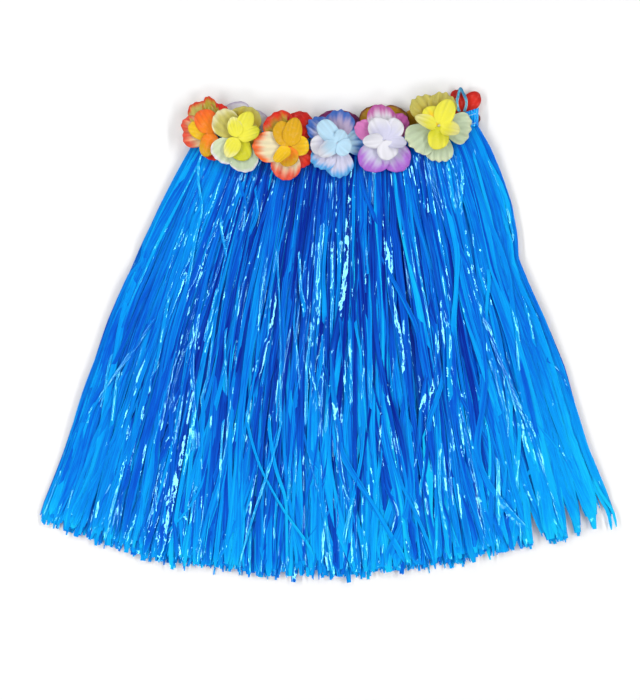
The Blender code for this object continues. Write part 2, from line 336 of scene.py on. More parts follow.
HEM_GAPS = (
    HemGap(across=0.040, opens=0.970, half=0.0026),
    HemGap(across=0.147, opens=0.950, half=0.0026),
    HemGap(across=0.160, opens=0.965, half=0.0024),
    HemGap(across=0.835, opens=0.960, half=0.0030),
    HemGap(across=0.873, opens=0.845, half=0.0072),
    HemGap(across=0.930, opens=0.870, half=0.0060),
    HemGap(across=0.953, opens=0.895, half=0.0058),
    HemGap(across=0.984, opens=0.915, half=0.0066),
)


# The film's painted shade and light over the plan: deep under the flowers at the top middle, paler towards
# the hem and the sides, where thin film lets the floor's light through.
SHADE_ACROSS = (0.0, 0.12, 0.25, 0.50, 0.70, 0.85, 1.0)
SHADE_ROWS = (
    (0.52, 0.42, 0.18, 0.10, 0.18, 0.36, 0.42),
    (0.56, 0.48, 0.24, 0.22, 0.26, 0.40, 0.44),
    (0.42, 0.33, 0.30, 0.34, 0.32, 0.37, 0.46),
    (0.52, 0.43, 0.40, 0.42, 0.42, 0.50, 0.62),
    (0.60, 0.54, 0.56, 0.55, 0.58, 0.64, 0.76),
)


class Layout:
    """Places in the frame: the skirt's plan, its waistband's line, its hem and its heights."""

    lowest_x: float = -0.008
    lowest_y: float = 0.171
    rise: float = 0.015
    rise_run: float = 0.115
    band_height: float = 0.016
    hem_x: float = -0.005
    hem_y: float = -0.221
    hem_radius: float = 0.596
    layer_gap: float = 0.0008
    edge_loft: float = 0.4
    edge_share: float = 0.065
    edge_fade: float = 0.07
    bulge: float = 0.038
    inset: float = 0.0040
    under_band: float = 0.30
    solve_steps: int = 40
    calm_side: float = 0.30
    calm_hem_from: float = 0.7

    def __init__(self) -> None:
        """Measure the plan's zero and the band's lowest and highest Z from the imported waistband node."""
        low, high = corners("waistband")
        middle_x = (SECTIONS[0].left + SECTIONS[0].right) / 2
        shift_y = low[1] - self.lowest_y + self.band_height / 2
        self.shift = np.array([(low[0] + high[0]) / 2 - middle_x, shift_y])
        self.band_low = low[2]
        self.band_high = high[2]
        self.table = np.array(SECTIONS)

    def column(self, name: str, down: np.ndarray) -> np.ndarray:
        """A column of the sections' table at shares of the length."""
        return np.interp(down, self.table[:, 0], self.table[:, Section._fields.index(name)])

    def band_line(self, x: np.ndarray) -> np.ndarray:
        """The waistband's middle in Y, in the skirt's plan."""
        return self.lowest_y + self.rise * ((x - self.lowest_x) / self.rise_run) ** 2

    def hem_line(self, x: np.ndarray) -> np.ndarray:
        """The hem's arc in Y, in the skirt's plan."""
        return self.hem_y + self.hem_radius - np.sqrt(self.hem_radius ** 2 - (x - self.hem_x) ** 2)

    def plan(self, across: np.ndarray, down: np.ndarray) -> Pair:
        """Where shares of the width and of the length lie, in the skirt's plan.

        Args:
            across: Shares of the width, from 0 at the left side to 1 at the right.
            down: Shares of the length, from 0 at the waistband to 1 at the hem.

        Returns:
            The X and the Y of each place, in metres.
        """
        top, hem = SECTIONS[0], SECTIONS[-1]
        top_x = top.left + (top.right - top.left) * across
        hem_x = hem.left + (hem.right - hem.left) * across
        top_y = self.band_line(top_x) - self.under_band * self.band_height
        left = top.left + (hem.left - top.left) * down - self.bulge * down * (1.0 - down)
        right = top.right + (hem.right - top.right) * down
        at_left = (self.column("left", down) - left) * np.exp(-across / self.edge_fade)
        at_right = (self.column("right", down) - right) * np.exp((across - 1.0) / self.edge_fade)
        x = left + (right - left) * across + at_left + at_right
        x = x + self.inset * (1.0 - 2.0 * across)
        return x, top_y + (self.hem_line(hem_x) - top_y) * down

    def shares(self, x: float, y: float) -> tuple[float, float]:
        """The shares of the width and of the length at a place of the plan: plan's inverse.

        Args:
            x: Distance to the right in the plan, in metres.
            y: Distance towards the waistband in the plan, in metres.

        Returns:
            The share of the width and the share of the length.
        """
        across, down = 0.5, 0.5
        width, length = SECTIONS[-1].right - SECTIONS[-1].left, self.lowest_y - self.hem_y
        for _ in range(self.solve_steps):
            here_x, here_y = self.plan(np.array(across), np.array(down))
            across = min(1.05, max(-0.05, across + float(x - here_x) / width))
            down = min(1.05, max(0.0, down + float(here_y - y) / length))
        return across, down

    def shade(self, across: np.ndarray, down: np.ndarray) -> np.ndarray:
        """How pale the film is over the skirt: deep with painted shade under the flowers, paler with painted
        see-through light at hem and sides.

        Args:
            across: Shares of the width, from 0 at the left side to 1 at the right.
            down: Shares of the length, from 0 at the waistband to 1 at the hem.

        Returns:
            Values from 0, deep, to about 1, pale.
        """
        rows = [np.interp(across, SHADE_ACROSS, row) for row in SHADE_ROWS]
        place = np.clip(down, 0.0, 1.0) * (len(rows) - 1)
        near = (np.clip(1.0 - np.abs(place - index), 0.0, 1.0) for index in range(len(rows)))
        return sum(row * share for row, share in zip(rows, near))

    def calm(self, across: np.ndarray, down: np.ndarray) -> np.ndarray:
        """How even the film's tone is, from 0 in the middle to 1 at the sides and the hem.

        Args:
            across: Shares of the width, from 0 at the left side to 1 at the right.
            down: Shares of the length, from 0 at the waistband to 1 at the hem.

        Returns:
            Values from 0 to 1.
        """
        side = np.clip(1.0 - np.minimum(across, 1.0 - across) / self.calm_side, 0.0, 1.0)
        hem = np.clip((down - self.calm_hem_from) / 0.3, 0.0, 1.0)
        return np.clip(side * 1.1 + 0.3 * hem, 0.0, 1.0)

    def heights(self, across: np.ndarray, down: np.ndarray, front: bool) -> Pair:
        """The lowest and highest Z of one fringe at shares of the width and of the length.

        Args:
            across: Shares of the width, from 0 at the left side to 1 at the right.
            down: Shares of the length, from 0 at the waistband to 1 at the hem.
            front: Whether the front fringe is meant, and not the back one.

        Returns:
            The lowest and the highest Z, in metres.
        """
        edge = np.clip(np.minimum(across, 1.0 - across) / self.edge_share, 0.0, 1.0)
        loft = self.column("loft", down) * (self.edge_loft + (1.0 - self.edge_loft) * edge)
        low = self.column("underside", down)
        if front:
            low = low + loft + self.layer_gap
        return low, low + loft

    def to_frame(self, points: np.ndarray) -> np.ndarray:
        """Move points from the skirt's plan into the frame.

        Args:
            points: Points of the plan, with X, Y and Z last.

        Returns:
            The same points in the frame.
        """
        moved = np.array(points, dtype=float)
        moved[..., :2] += self.shift
        return moved


# --------------------------------------------------------------------------- meshes


def corners(node: str) -> Pair:
    """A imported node's lowest and highest corner."""
    low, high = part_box(node)
    return np.array(low), np.array(high)


def link(name: str, data: bpy.types.ID) -> bpy.types.Object:
    """Put a mesh, light or camera into the scene as an object.

    Args:
        name: Name of what is made.
        data: The mesh, light or camera.

    Returns:
        The object.
    """
    thing = bpy.data.objects.new(name, data)
    bpy.context.scene.collection.objects.link(thing)
    return thing


def store(mesh: bpy.types.Mesh, label: str, values: np.ndarray, kind: str = "FLOAT") -> None:
    """Store numbers, or vectors where kind is FLOAT_VECTOR, on a mesh's points.

    Args:
        mesh: The mesh.
        label: Name of the attribute.
        values: One number or vector for each point.
        kind: The attribute's type.
    """
    entry = "vector" if kind == "FLOAT_VECTOR" else "value"
    layer = mesh.attributes.new(label, kind, "POINT")
    layer.data.foreach_set(entry, values.reshape(-1).astype(np.float32))


def add_piece(name: str, mesh: bpy.types.Mesh, material: bpy.types.Material | None) -> bpy.types.Object:
    """Link a mesh as a piece that rides on the skirt's body.

    Args:
        name: The piece's name.
        mesh: Its mesh, in the frame.
        material: Its finish, or None to keep the mesh's own.

    Returns:
        The piece.
    """
    if material is not None:
        mesh.materials.append(material)
    piece = link(name, mesh)
    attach(piece, BODY)
    return piece


def settle_on_table(mesh: bpy.types.Mesh) -> None:
    """Lift every point that would sink into the table clear of it.

    Args:
        mesh: The mesh.
    """
    places = np.empty(len(mesh.vertices) * 3)
    mesh.vertices.foreach_get("co", places)
    places[2::3] = np.maximum(places[2::3], TABLE_CLEARANCE)
    mesh.vertices.foreach_set("co", places)
    mesh.update()


# --------------------------------------------------------------------------- strands


class LineTool:
    """A Geometry Nodes group, built here, that turns a mesh of lines into a plain dressed mesh."""

    def __init__(self, name: str, sizes: Sequence[str]) -> None:
        """Start the group.

        Args:
            name: The group's name.
            sizes: The names of its number inputs. Every group also takes a Finish.
        """
        self.tree = bpy.data.node_groups.new(name, "GeometryNodeTree")
        kinds = {"Geometry": "Geometry", **{size: "Float" for size in sizes}, "Finish": "Material"}
        face = self.tree.interface
        self.inputs = {
            label: face.new_socket(label, in_out="INPUT", socket_type="NodeSocket" + kind).identifier
            for label, kind in kinds.items()
        }
        face.new_socket("Geometry", in_out="OUTPUT", socket_type="NodeSocketGeometry")
        self.given = self.node("NodeGroupInput").outputs

    def node(self, kind: str, settings: dict | None = None, sockets: dict | None = None) -> bpy.types.Node:
        """Add a node.

        Args:
            kind: The node's type.
            settings: Its properties.
            sockets: Values or links by input name or index. A node stands for its first output.

        Returns:
            The node.
        """
        added = self.tree.nodes.new(kind)
        for key, value in (settings or {}).items():
            setattr(added, key, value)
        for key, value in (sockets or {}).items():
            source = value.outputs[0] if isinstance(value, bpy.types.Node) else value
            if isinstance(source, bpy.types.NodeSocket):
                self.tree.links.new(source, added.inputs[key])
            else:
                added.inputs[key].default_value = source
        return added

    def end(self, shape: bpy.types.Node) -> None:
        """Realize a shape's instances, dress it and give it out.

        Args:
            shape: The socket that carries the shape.
        """
        real = self.node("GeometryNodeRealizeInstances", {}, {"Geometry": shape})
        sockets = {"Geometry": real, "Material": self.given["Finish"]}
        self.node("NodeGroupOutput", {}, {"Geometry": self.node("GeometryNodeSetMaterial", {}, sockets)})

    def made(self, name: str, lines: bpy.types.Mesh, values: dict) -> bpy.types.Mesh:
        """Run the group once.

        Args:
            name: The carrier object's name. The object and its modifier are gone afterwards.
            lines: The mesh of lines.
            values: The group's inputs by name.

        Returns:
            The plain mesh.
        """
        carrier = link(name, lines)
        modifier = carrier.modifiers.new(name, "NODES")
        modifier.node_group = self.tree
        for label, value in values.items():
            modifier[self.inputs[label]] = value
        shown = carrier.evaluated_get(bpy.context.evaluated_depsgraph_get())
        mesh = bpy.data.meshes.new_from_object(shown)
        bpy.data.objects.remove(carrier, do_unlink=True)
        return mesh


class StrandSweep(LineTool):
    """Sweeps a folded ribbon of film along every polyline of a mesh."""

    film_wall: float = 0.09

    def __init__(self) -> None:
        """Build the tree: lines to curves, turned and scaled by attribute, then swept."""
        super().__init__("strand_sweep", ("Fold Height", "Film Wall"))
        fold, wall = self.given["Fold Height"], self.given["Film Wall"]
        lines = self.node("GeometryNodeMeshToCurve", {}, {"Mesh": self.given["Geometry"]})
        upright = self.node("GeometryNodeSetCurveNormal", {"mode": "Z_UP"}, {"Curve": lines})
        sockets = {"Curve": upright, "Tilt": self.named("turn")}
        turned = self.node("GeometryNodeSetCurveTilt", {}, sockets)
        under = self.node("ShaderNodeMath", {"operation": "SUBTRACT"}, {0: fold, 1: wall})
        ridge = self.node("ShaderNodeCombineXYZ", {}, {"Y": fold})
        valley = self.node("ShaderNodeCombineXYZ", {}, {"Y": under})
        ends = {"Point 1": (1.0, 0.0, 0.0), "Point 3": (-1.0, 0.0, 0.0)}
        sockets = {**ends, "Point 2": ridge, "Point 4": valley}
        profile = self.node("GeometryNodeCurvePrimitiveQuadrilateral", {"mode": "POINTS"}, sockets)
        apart = self.node("ShaderNodeSeparateXYZ", {}, {0: self.node("GeometryNodeInputPosition")})
        settings = {"data_type": "FLOAT", "domain": "POINT"}
        sockets = {"Geometry": profile, "Name": "film_side", "Value": apart}
        profile = self.node("GeometryNodeStoreNamedAttribute", settings, sockets)
        scale = self.named("breadth")
        sockets = {"Curve": turned, "Profile Curve": profile, "Scale": scale, "Fill Caps": True}
        self.end(self.node("GeometryNodeCurveToMesh", {}, sockets))

    def named(self, attribute: str) -> bpy.types.Node:
        """A number stored on the lines' points."""
        return self.node("GeometryNodeInputNamedAttribute", {"data_type": "FLOAT"}, {"Name": attribute})

    def run(self, name: str, guides: "Guides", fold: float, finish: bpy.types.Material) -> bpy.types.Object:
        """Sweep guides into one piece.

        Args:
            name: The piece's name.
            guides: The strands' lines with their attributes.
            fold: The ribbon's fold height as a share of its half width.
            finish: The film's material.

        Returns:
            The piece.
        """
        values = {"Fold Height": fold, "Film Wall": self.film_wall, "Finish": finish}
        mesh = self.made(name + "_guides", guides.mesh(name + "_guides"), values)
        mesh.shade_flat()
        settle_on_table(mesh)
        return add_piece(name, mesh, None)


@dataclass
class Guides:
    """Strand lines: points by strand and step, with the attributes that the sweep reads."""

    points: np.ndarray
    breadth: np.ndarray
    turn: np.ndarray
    shade: np.ndarray
    calm: np.ndarray
    clear: np.ndarray
    run: np.ndarray

    def mesh(self, name: str) -> bpy.types.Mesh:
        """The lines as a mesh of edges.

        Args:
            name: Name of what is made.

        Returns:
            The mesh.
        """
        strands, steps, _ = self.points.shape
        starts = (np.arange(strands) * steps)[:, None] + np.arange(steps - 1)[None, :]
        edges = np.stack([starts, starts + 1], axis=-1).reshape(-1, 2)
        mesh = bpy.data.meshes.new(name)
        mesh.vertices.add(strands * steps)
        mesh.vertices.foreach_set("co", self.points.reshape(-1))
        mesh.edges.add(len(edges))
        mesh.edges.foreach_set("vertices", edges.reshape(-1).astype(np.int32))
        for label in ("breadth", "turn", "shade", "calm", "clear"):
            store(mesh, label, np.broadcast_to(getattr(self, label), (strands, steps)))
        store(mesh, "film_run", self.run, "FLOAT_VECTOR")
        mesh.update()
        return mesh


@dataclass(frozen=True)
class StrandLayer:
    """One layer of loose strands: how many, how deep they lie, and how they look."""

    name: str
    node: str
    count: int
    steps: int
    low: float
    high: float
    half_width: float
    drift: float
    paler: float
    shade_spread: float
    shorter: float
    seed: int


BACK, FRONT = "fringe_back", "fringe_front"
# The paler column paints shade and light by depth: the lower layers are painted deeper, the top one paler.
STRAND_LAYERS = (
    StrandLayer("strands_back_under", BACK, 400, 22, 0.05, 0.35, 0.0015, 0.008, -0.02, 0.12, 0.000, 11),
    StrandLayer("strands_back_upper", BACK, 380, 24, 0.45, 0.95, 0.0016, 0.010, -0.04, 0.12, 0.002, 12),
    StrandLayer("strands_front_under", FRONT, 420, 30, 0.00, 0.35, 0.0017, 0.014, -0.20, 0.12, 0.002, 13),
    StrandLayer("strands_front_middle", FRONT, 370, 38, 0.35, 0.70, 0.0019, 0.020, -0.07, 0.18, 0.004, 14),
    StrandLayer("strands_front_top", FRONT, 290, 46, 0.75, 1.10, 0.0022, 0.024, 0.05, 0.21, 0.006, 15),
)


class Lie(Enum):
    """How a loose strand's film faces: its tilt in radians and how much paler it is painted where it lies on
    top, as painted light.
    """

    FLAT = (0.05, 0.12)
    SHINY_LEFT = (0.41, 0.26)
    SHINY_RIGHT = (-0.41, 0.26)
    PALE = (0.12, 0.34)


class LooseStrand(NamedTuple):
    """A strand on top: where it passes in the skirt's plan, its half width in mm and its lie."""

    path: tuple[tuple[float, float], ...]
    half: float
    lie: Lie


LOOSE_ROWS = (
    (((-114.7, 156), (-113.9, 128), (-109.4, 116), (-116.9, 86), (-122.9, 49)), 1.5, Lie.SHINY_LEFT),
    (((-95.2, 100), (-93, 88), (-87.8, 70)), 1.3, Lie.SHINY_RIGHT),
    (((-80.3, 136), (-71.4, 122), (-70.7, 109)), 1.4, Lie.FLAT),
    (((-64.6, 130), (-58.7, 106), (-66.9, 96)), 1.1, Lie.PALE),
    (((-52.7, 67), (-57.2, 40), (-60.1, 9)), 1.3, Lie.SHINY_LEFT),
    (((-24.3, 67), (-22.1, 34), (-18.4, 21)), 1.7, Lie.SHINY_RIGHT),
    (((-3.4, 94), (-7.9, 52), (-6.5, 22)), 2.6, Lie.SHINY_LEFT),
    (((0.4, 92), (-3.0, 52), (-1.2, 18)), 1.9, Lie.PALE),
    (((5.5, 76), (5.5, 37), (4.8, -3)), 1.7, Lie.SHINY_RIGHT),
    (((-43.7, 70), (-41.5, 31), (-40, -21)), 0.9, Lie.SHINY_LEFT),
    (((-90, 2), (-90.5, -20), (-88.2, -49)), 1.2, Lie.SHINY_LEFT),
    (((-140.8, 31), (-148.2, -13), (-152.7, -31)), 1.6, Lie.SHINY_RIGHT),
    (((-97.5, 39), (-102, 19), (-108, -3)), 1.4, Lie.SHINY_LEFT),
    (((-12.6, 4), (-17.2, -25), (-17.6, -73)), 1.5, Lie.SHINY_RIGHT),
    (((11.5, 115), (0.9, 88)), 1.6, Lie.FLAT),
    (((30.5, 143), (35.7, 121), (45.4, 103)), 1.8, Lie.FLAT),
    (((49.9, 67), (67.8, 34), (81.2, 7)), 1.7, Lie.FLAT),
    (((99, 156), (106.6, 116)), 1.0, Lie.SHINY_RIGHT),
    (((108, 155), (112.5, 127), (114, 113)), 2.0, Lie.SHINY_LEFT),
    (((120.1, 156), (123, 140), (119.3, 116)), 1.6, Lie.SHINY_LEFT),
    (((110.3, 109), (117.8, 73), (116.3, 37), (113.3, 7)), 2.4, Lie.PALE),
    (((109.5, 4), (110.3, -31), (111, -55)), 2.4, Lie.SHINY_RIGHT),
    (((73.7, 143), (82.7, 98), (93.2, 61)), 2.1, Lie.FLAT),
    (((133.2, 136), (146.7, 98), (161.8, 61), (167.8, 16)), 2.0, Lie.FLAT),
    (((146, 152), (156, 136), (163, 112)), 2.4, Lie.PALE),
    (((148, 150), (161, 120), (167, 92)), 1.3, Lie.SHINY_RIGHT),
    (((133, 158), (141, 128), (149, 92)), 1.5, Lie.PALE),
    (((157, 108), (166, 84), (170, 58)), 1.4, Lie.PALE),
    (((167.4, 22), (171.9, -6), (171.9, -31)), 1.8, Lie.SHINY_RIGHT),
    (((178.5, 25), (181, 15), (184.2, -6)), 2.0, Lie.SHINY_LEFT),
    (((21.5, 7), (22.2, -31), (22.1, -54)), 1.9, Lie.SHINY_RIGHT),
    (((26, 7), (32, -19), (30.5, -31)), 1.2, Lie.PALE),
    (((146.7, 52), (142.2, 20)), 1.5, Lie.PALE),
    (((-40.9, -25), (-41, -60), (-40, -83)), 1.4, Lie.SHINY_RIGHT),
    (((-92.7, -83), (-94.2, -118), (-96.8, -144)), 1.2, Lie.SHINY_LEFT),
    (((-72, -75), (-59.8, -118), (-35.6, -162), (-11.7, -193)), 1.2, Lie.PALE),
    (((-51.3, -83), (-44.3, -125), (-35.6, -145), (-34.8, -195)), 1.4, Lie.PALE),
    (((-40.9, -86), (-51.3, -121), (-63.3, -157), (-77, -202)), 1.2, Lie.SHINY_LEFT),
    (((-118.4, -73), (-118.4, -102)), 1.3, Lie.SHINY_RIGHT),
    (((-194.4, -25), (-198.4, -54)), 1.2, Lie.SHINY_LEFT),
    (((-187.2, -40), (-190.8, -78)), 1.5, Lie.SHINY_RIGHT),
    (((-68.4, -183), (-68.4, -203)), 1.2, Lie.SHINY_LEFT),
    (((-32.4, -124), (-34.2, -148)), 1.1, Lie.SHINY_RIGHT),
    (((40.2, -31), (39.3, -56)), 1.8, Lie.SHINY_LEFT),
    (((5, -40), (-0.3, -83)), 1.6, Lie.SHINY_RIGHT),
    (((11.7, -104), (42.8, -154), (70.2, -201)), 2.3, Lie.FLAT),
    (((63.5, -126), (80.7, -161), (96.2, -197)), 1.7, Lie.FLAT),
    (((106.2, -37), (90.9, -80)), 2.0, Lie.FLAT),
    (((89.1, -116), (83.3, -138)), 1.2, Lie.SHINY_LEFT),
    (((154.8, -121), (153.9, -162)), 1.8, Lie.SHINY_RIGHT),
    (((173.7, -86), (170.1, -135)), 1.6, Lie.SHINY_LEFT),
    (((99.6, -169), (97.9, -200)), 1.6, Lie.PALE),
    (((-0.3, -169), (6.7, -212)), 1.6, Lie.SHINY_RIGHT),
    (((23.9, -150), (15.3, -183)), 1.5, Lie.SHINY_LEFT),
    (((244.3, -140), (261.0, -174)), 1.3, Lie.PALE),
    (((240.5, -138), (256.5, -176)), 1.3, Lie.FLAT),
    (((-139.5, -190), (-138.6, -211)), 2.2, Lie.PALE),
)
LOOSE_STRANDS = tuple(LooseStrand(*row) for row in LOOSE_ROWS)


@dataclass(frozen=True)
class StrandHabit:
    """How cut film strands lie: what is left to chance, and how far it goes.

    Lengths along and across the skirt are shares of its length and width, and turns are radians.
    """

    fold: float = 0.10
    clumps: int = 38
    clump_pull: float = 0.8
    swings: tuple[float, ...] = (0.6, 1.4, 2.8)
    ragged: float = 0.008
    shortest: float = 0.93
    longest: float = 1.025
    kinked: float = 0.4
    kink: float = 0.30
    edge_inset: float = 0.005
    heave: float = 0.16
    highest: float = 1.15
    gathered: float = 0.60
    gather_run: float = 0.18
    uneven: float = 0.22
    lean: float = 0.16
    twist: float = 0.18
    calm_spread: float = 0.6
    # Painted see-through light on the strands' tips: how much paler, from where and over what share.
    tip_painted_light: float = 0.18
    tip_from: float = 0.955
    tip_run: float = 0.03
    clear_edge: float = 0.02
    clear: float = 0.35
    run_length: float = 9.0
    parted: float = 0.3
    loose_seed: int = 16
    loose_steps: int = 56
    loose_fade: float = 0.05


class Fringe:
    """Both fringes: layers of film strands between the waistband and the hem."""

    def __init__(self, layout: Layout, sweep: StrandSweep, finish: bpy.types.Material) -> None:
        """Keep what every layer shares.

        Args:
            layout: The skirt's outline and heights.
            sweep: The tool that makes strands from lines.
            finish: The material that the result wears.
        """
        self.layout = layout
        self.sweep = sweep
        self.finish = finish
        self.habit = StrandHabit()

    def build(self) -> None:
        """Build every layer of strands and the loose strands on top."""
        for row in STRAND_LAYERS:
            self.declare(row.name, row.node, self.guides(row))
        self.declare("strands_loose", FRONT, self.loose_guides())

    def declare(self, name: str, node: str, guides: Guides) -> None:
        """Args:
            name: Name of what is made.
            node: The node that the piece stands for.
            guides: The lines to sweep.
        """
        piece = self.sweep.run(name, guides, self.habit.fold, self.finish)
        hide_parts(node)
        cut = float(guides.breadth.mean() * 2.0 * len(guides.points))

    def parted(self, across: np.ndarray, down: np.ndarray) -> np.ndarray:
        """Push strands away from the gaps between bunches at the hem.

        Args:
            across: Shares of the width, from 0 at the left side to 1 at the right.
            down: Shares of the length, from 0 at the waistband to 1 at the hem.

        Returns:
            The moved shares of the width.
        """
        width = SECTIONS[-1].right - SECTIONS[-1].left
        parted = across.copy()
        for gap in HEM_GAPS:
            side = np.where(parted[:, -1:] < gap.across, -1.0, 1.0)
            opened = np.clip((down - gap.opens) / (1.0 - gap.opens), 0.0, 1.0) * gap.half / width
            away = side * (parted - gap.across)
            pushed = np.maximum(away, opened + self.habit.parted * np.abs(away))
            parted = np.where(opened > 0.0, gap.across + side * pushed, parted)
        return parted

    @staticmethod
    def wave(rng: np.random.Generator, share: np.ndarray, count: int, low: float, high: float) -> np.ndarray:
        """A sine along every strand with its own number of turns and phase."""
        turns, phase = rng.uniform(low, high, (count, 1)), rng.random((count, 1))
        return np.sin(2.0 * math.pi * (turns * share + phase))

    def run_of(self, share: np.ndarray, count: int, apart: float) -> np.ndarray:
        """Every strand's own stretch of the film's pattern, by strand and step.

        Args:
            share: Shares of a strand's length, step by step.
            count: How many strands there are.
            apart: How far apart neighbours lie in the film's pattern.

        Returns:
            Places in the film's pattern.
        """
        lengthwise = share * self.habit.run_length + np.zeros((count, 1))
        sideways = np.arange(count)[:, None] * apart + 0.0 * share
        return np.stack([lengthwise, sideways, 0.0 * lengthwise], axis=-1)

    def guides(self, row: StrandLayer) -> Guides:
        """Work out every strand's line, breadth, turn and shade for one layer.

        Args:
            row: The layer.

        Returns:
            The lines with their attributes.
        """
        rng, habit, layout = np.random.default_rng(row.seed), self.habit, self.layout
        n, single = row.count, (row.count, 1)
        share = np.linspace(0.0, 1.0, row.steps)[None, :]
        start = ((np.arange(n) + rng.uniform(-0.5, 1.5, n)) / n).clip(0.0, 1.0)[:, None]
        inside = np.clip(np.minimum(start, 1.0 - start) / 0.12, 0.15, 1.0)

        clumps = np.sort(rng.uniform(0.0, 1.0, habit.clumps))
        nearest = clumps[np.abs(start - clumps[None, :]).argmin(axis=1)][:, None]
        pull = rng.uniform(0.0, habit.clump_pull, single)
        pull = pull * np.sin(math.pi * np.clip(share * rng.uniform(0.6, 1.4, single), 0, 1))
        across = start + (nearest - start) * pull
        amount = row.drift * np.exp(rng.normal(0.0, 0.5, single)) * inside
        across = across + amount * rng.normal(0.0, 1.0, single) * share ** 1.2
        for turns in habit.swings:
            swing = amount * rng.normal(0.0, 0.42, single) / turns ** 1.3
            across = across + swing * self.wave(rng, share, n, 0.7 * turns, 1.3 * turns) * np.sqrt(share)
        ragged = rng.normal(0.0, habit.ragged, single) - np.abs(rng.normal(0.0, habit.ragged, single))
        bunch = 0.006 * np.sin(37.0 * nearest) + 0.004 * np.sin(91.0 * nearest)
        trim = np.interp(start, HEM_TRIM_ACROSS, HEM_TRIM)
        tip = np.clip(1.0 - row.shorter - trim + ragged + bunch, habit.shortest, habit.longest)
        down = share * tip
        bent = rng.uniform(0.18, 0.95, single)
        kink = np.clip(1.0 - np.abs(down - bent) / rng.uniform(0.02, 0.06, single), 0.0, 1.0)
        kink = kink * rng.normal(0.0, 1.0, single) * (rng.random(single) < habit.kinked)
        across = across + kink * row.drift * habit.kink
        inset = np.abs(rng.normal(0.0, habit.edge_inset, single))
        across = self.parted(np.clip(across, inset, 1.0 - inset), down)

        low, high = layout.heights(across, np.minimum(down, 1.0), row.node == FRONT)
        depth = row.low + (row.high - row.low) * rng.random(single)
        depth = depth + habit.heave * self.wave(rng, share, n, 1.0, 3.0) * share
        z = low + (high - low) * np.clip(depth, 0.0, habit.highest)
        points = layout.to_frame(np.stack([*layout.plan(across, down), z], axis=-1))

        spread = np.clip(np.exp(rng.normal(0.0, 0.38, single)), 0.4, 2.0)
        gathered = habit.gathered + 0.40 * np.clip(share / habit.gather_run, 0.0, 1.0)
        uneven = 1.0 + habit.uneven * self.wave(rng, share, n, 1.0, 4.0)
        breadth = row.half_width * spread * gathered * uneven
        breadth[:, -1:] *= rng.uniform(0.15, 0.9, single)

        lean = rng.normal(0.0, habit.lean, single) * inside
        twist = 0.04 + np.abs(rng.normal(0.0, habit.twist, single))
        turn = lean + twist * self.wave(rng, share, n, 0.5, 3.5) * inside
        calm = layout.calm(across, down)
        spread = rng.normal(0.0, row.shade_spread, single) * (1.0 - habit.calm_spread * calm)
        # Painted shade and light: the layer's paler share darkens the lower layers and lightens the top one.
        shade = layout.shade(across, down) + row.paler + spread
        # Painted see-through light: the tips are painted paler, as where thin film lets the floor show
        # through.
        shade = shade + habit.tip_painted_light * np.clip((down - habit.tip_from) / habit.tip_run, 0.0, 1.0)
        edge = np.clip(1.0 - np.minimum(across, 1.0 - across) / habit.clear_edge, 0.0, 1.0)
        clear = 1.0 - habit.clear * edge * rng.random(single)
        run = self.run_of(share, n, 3.7)
        return Guides(points, breadth, turn, np.clip(shade, 0.0, 1.0), calm, clear, run)

    def loose_guides(self) -> Guides:
        """The lines of the loose strands: whole strands that come to the top where they show.

        Returns:
            The lines with their attributes.
        """
        rng, layout = np.random.default_rng(self.habit.loose_seed), self.layout
        n, k = len(LOOSE_STRANDS), self.habit.loose_steps
        share = np.linspace(0.0, 1.0, k)[None, :]
        across, down, shown = (np.empty((n, k)) for _ in range(3))
        for index, strand in enumerate(LOOSE_STRANDS):
            path = np.array([layout.shares(x / MM_PER_M, y / MM_PER_M) for x, y in strand.path])
            tip = max(path[-1, 1], rng.uniform(0.97, 1.0))
            down[index] = share[0] * tip
            line = np.interp(down[index], np.append(0.0, path[:, 1]), np.append(path[0, 0], path[:, 0]))
            for _ in range(2):
                line[1:-1] = (line[:-2] + 2.0 * line[1:-1] + line[2:]) / 4.0
            across[index] = line
            far = np.maximum(path[0, 1] - down[index], down[index] - path[-1, 1])
            shown[index] = np.clip(1.0 - far / self.habit.loose_fade, 0.0, 1.0)
        low, high = layout.heights(np.clip(across, 0.0, 1.0), np.minimum(down, 1.0), True)
        z = low + (high - low) * (0.45 + 0.80 * shown)
        lies = np.array([strand.lie.value for strand in LOOSE_STRANDS])
        tilt, paler = lies[:, :1], lies[:, 1:]
        half = np.array([strand.half for strand in LOOSE_STRANDS])[:, None] / MM_PER_M
        turn = tilt * shown + 0.05 * self.wave(rng, share, n, 2.0, 6.0)
        breadth = half * (0.65 + 0.35 * shown) * (1.0 + 0.16 * self.wave(rng, share, n, 2.0, 5.0))
        breadth[:, -1:] *= 0.4
        # Painted light: each loose strand is painted paler by its lie where it comes to the top.
        shade = np.clip(layout.shade(across, down) + paler * shown, 0.0, 1.0)
        points = layout.to_frame(np.stack([*layout.plan(across, down), z], axis=-1))
        calm, clear = layout.calm(across, down), np.ones((n, k))
        return Guides(points, breadth, turn, shade, calm, clear, self.run_of(share, n, 5.3))


# --------------------------------------------------------------------------- waistband and tie


@dataclass(frozen=True)
class BandSizes:
    """The shirred band's ruffles and its stitches."""

    around: int = 1500
    across: int = 11
    ruffles: int = 210
    ruffle_depth: float = 0.00042
    wall: float = 0.00030
    fullness: float = 1.35
    stitch_pitch: float = 0.0026
    stitch_radius: float = 0.00034
    stitch_rows: tuple[float, ...] = (0.20, 0.72)
    stitch_inset: float = 0.004
    stitch_points: int = 160
    seed: int = 21


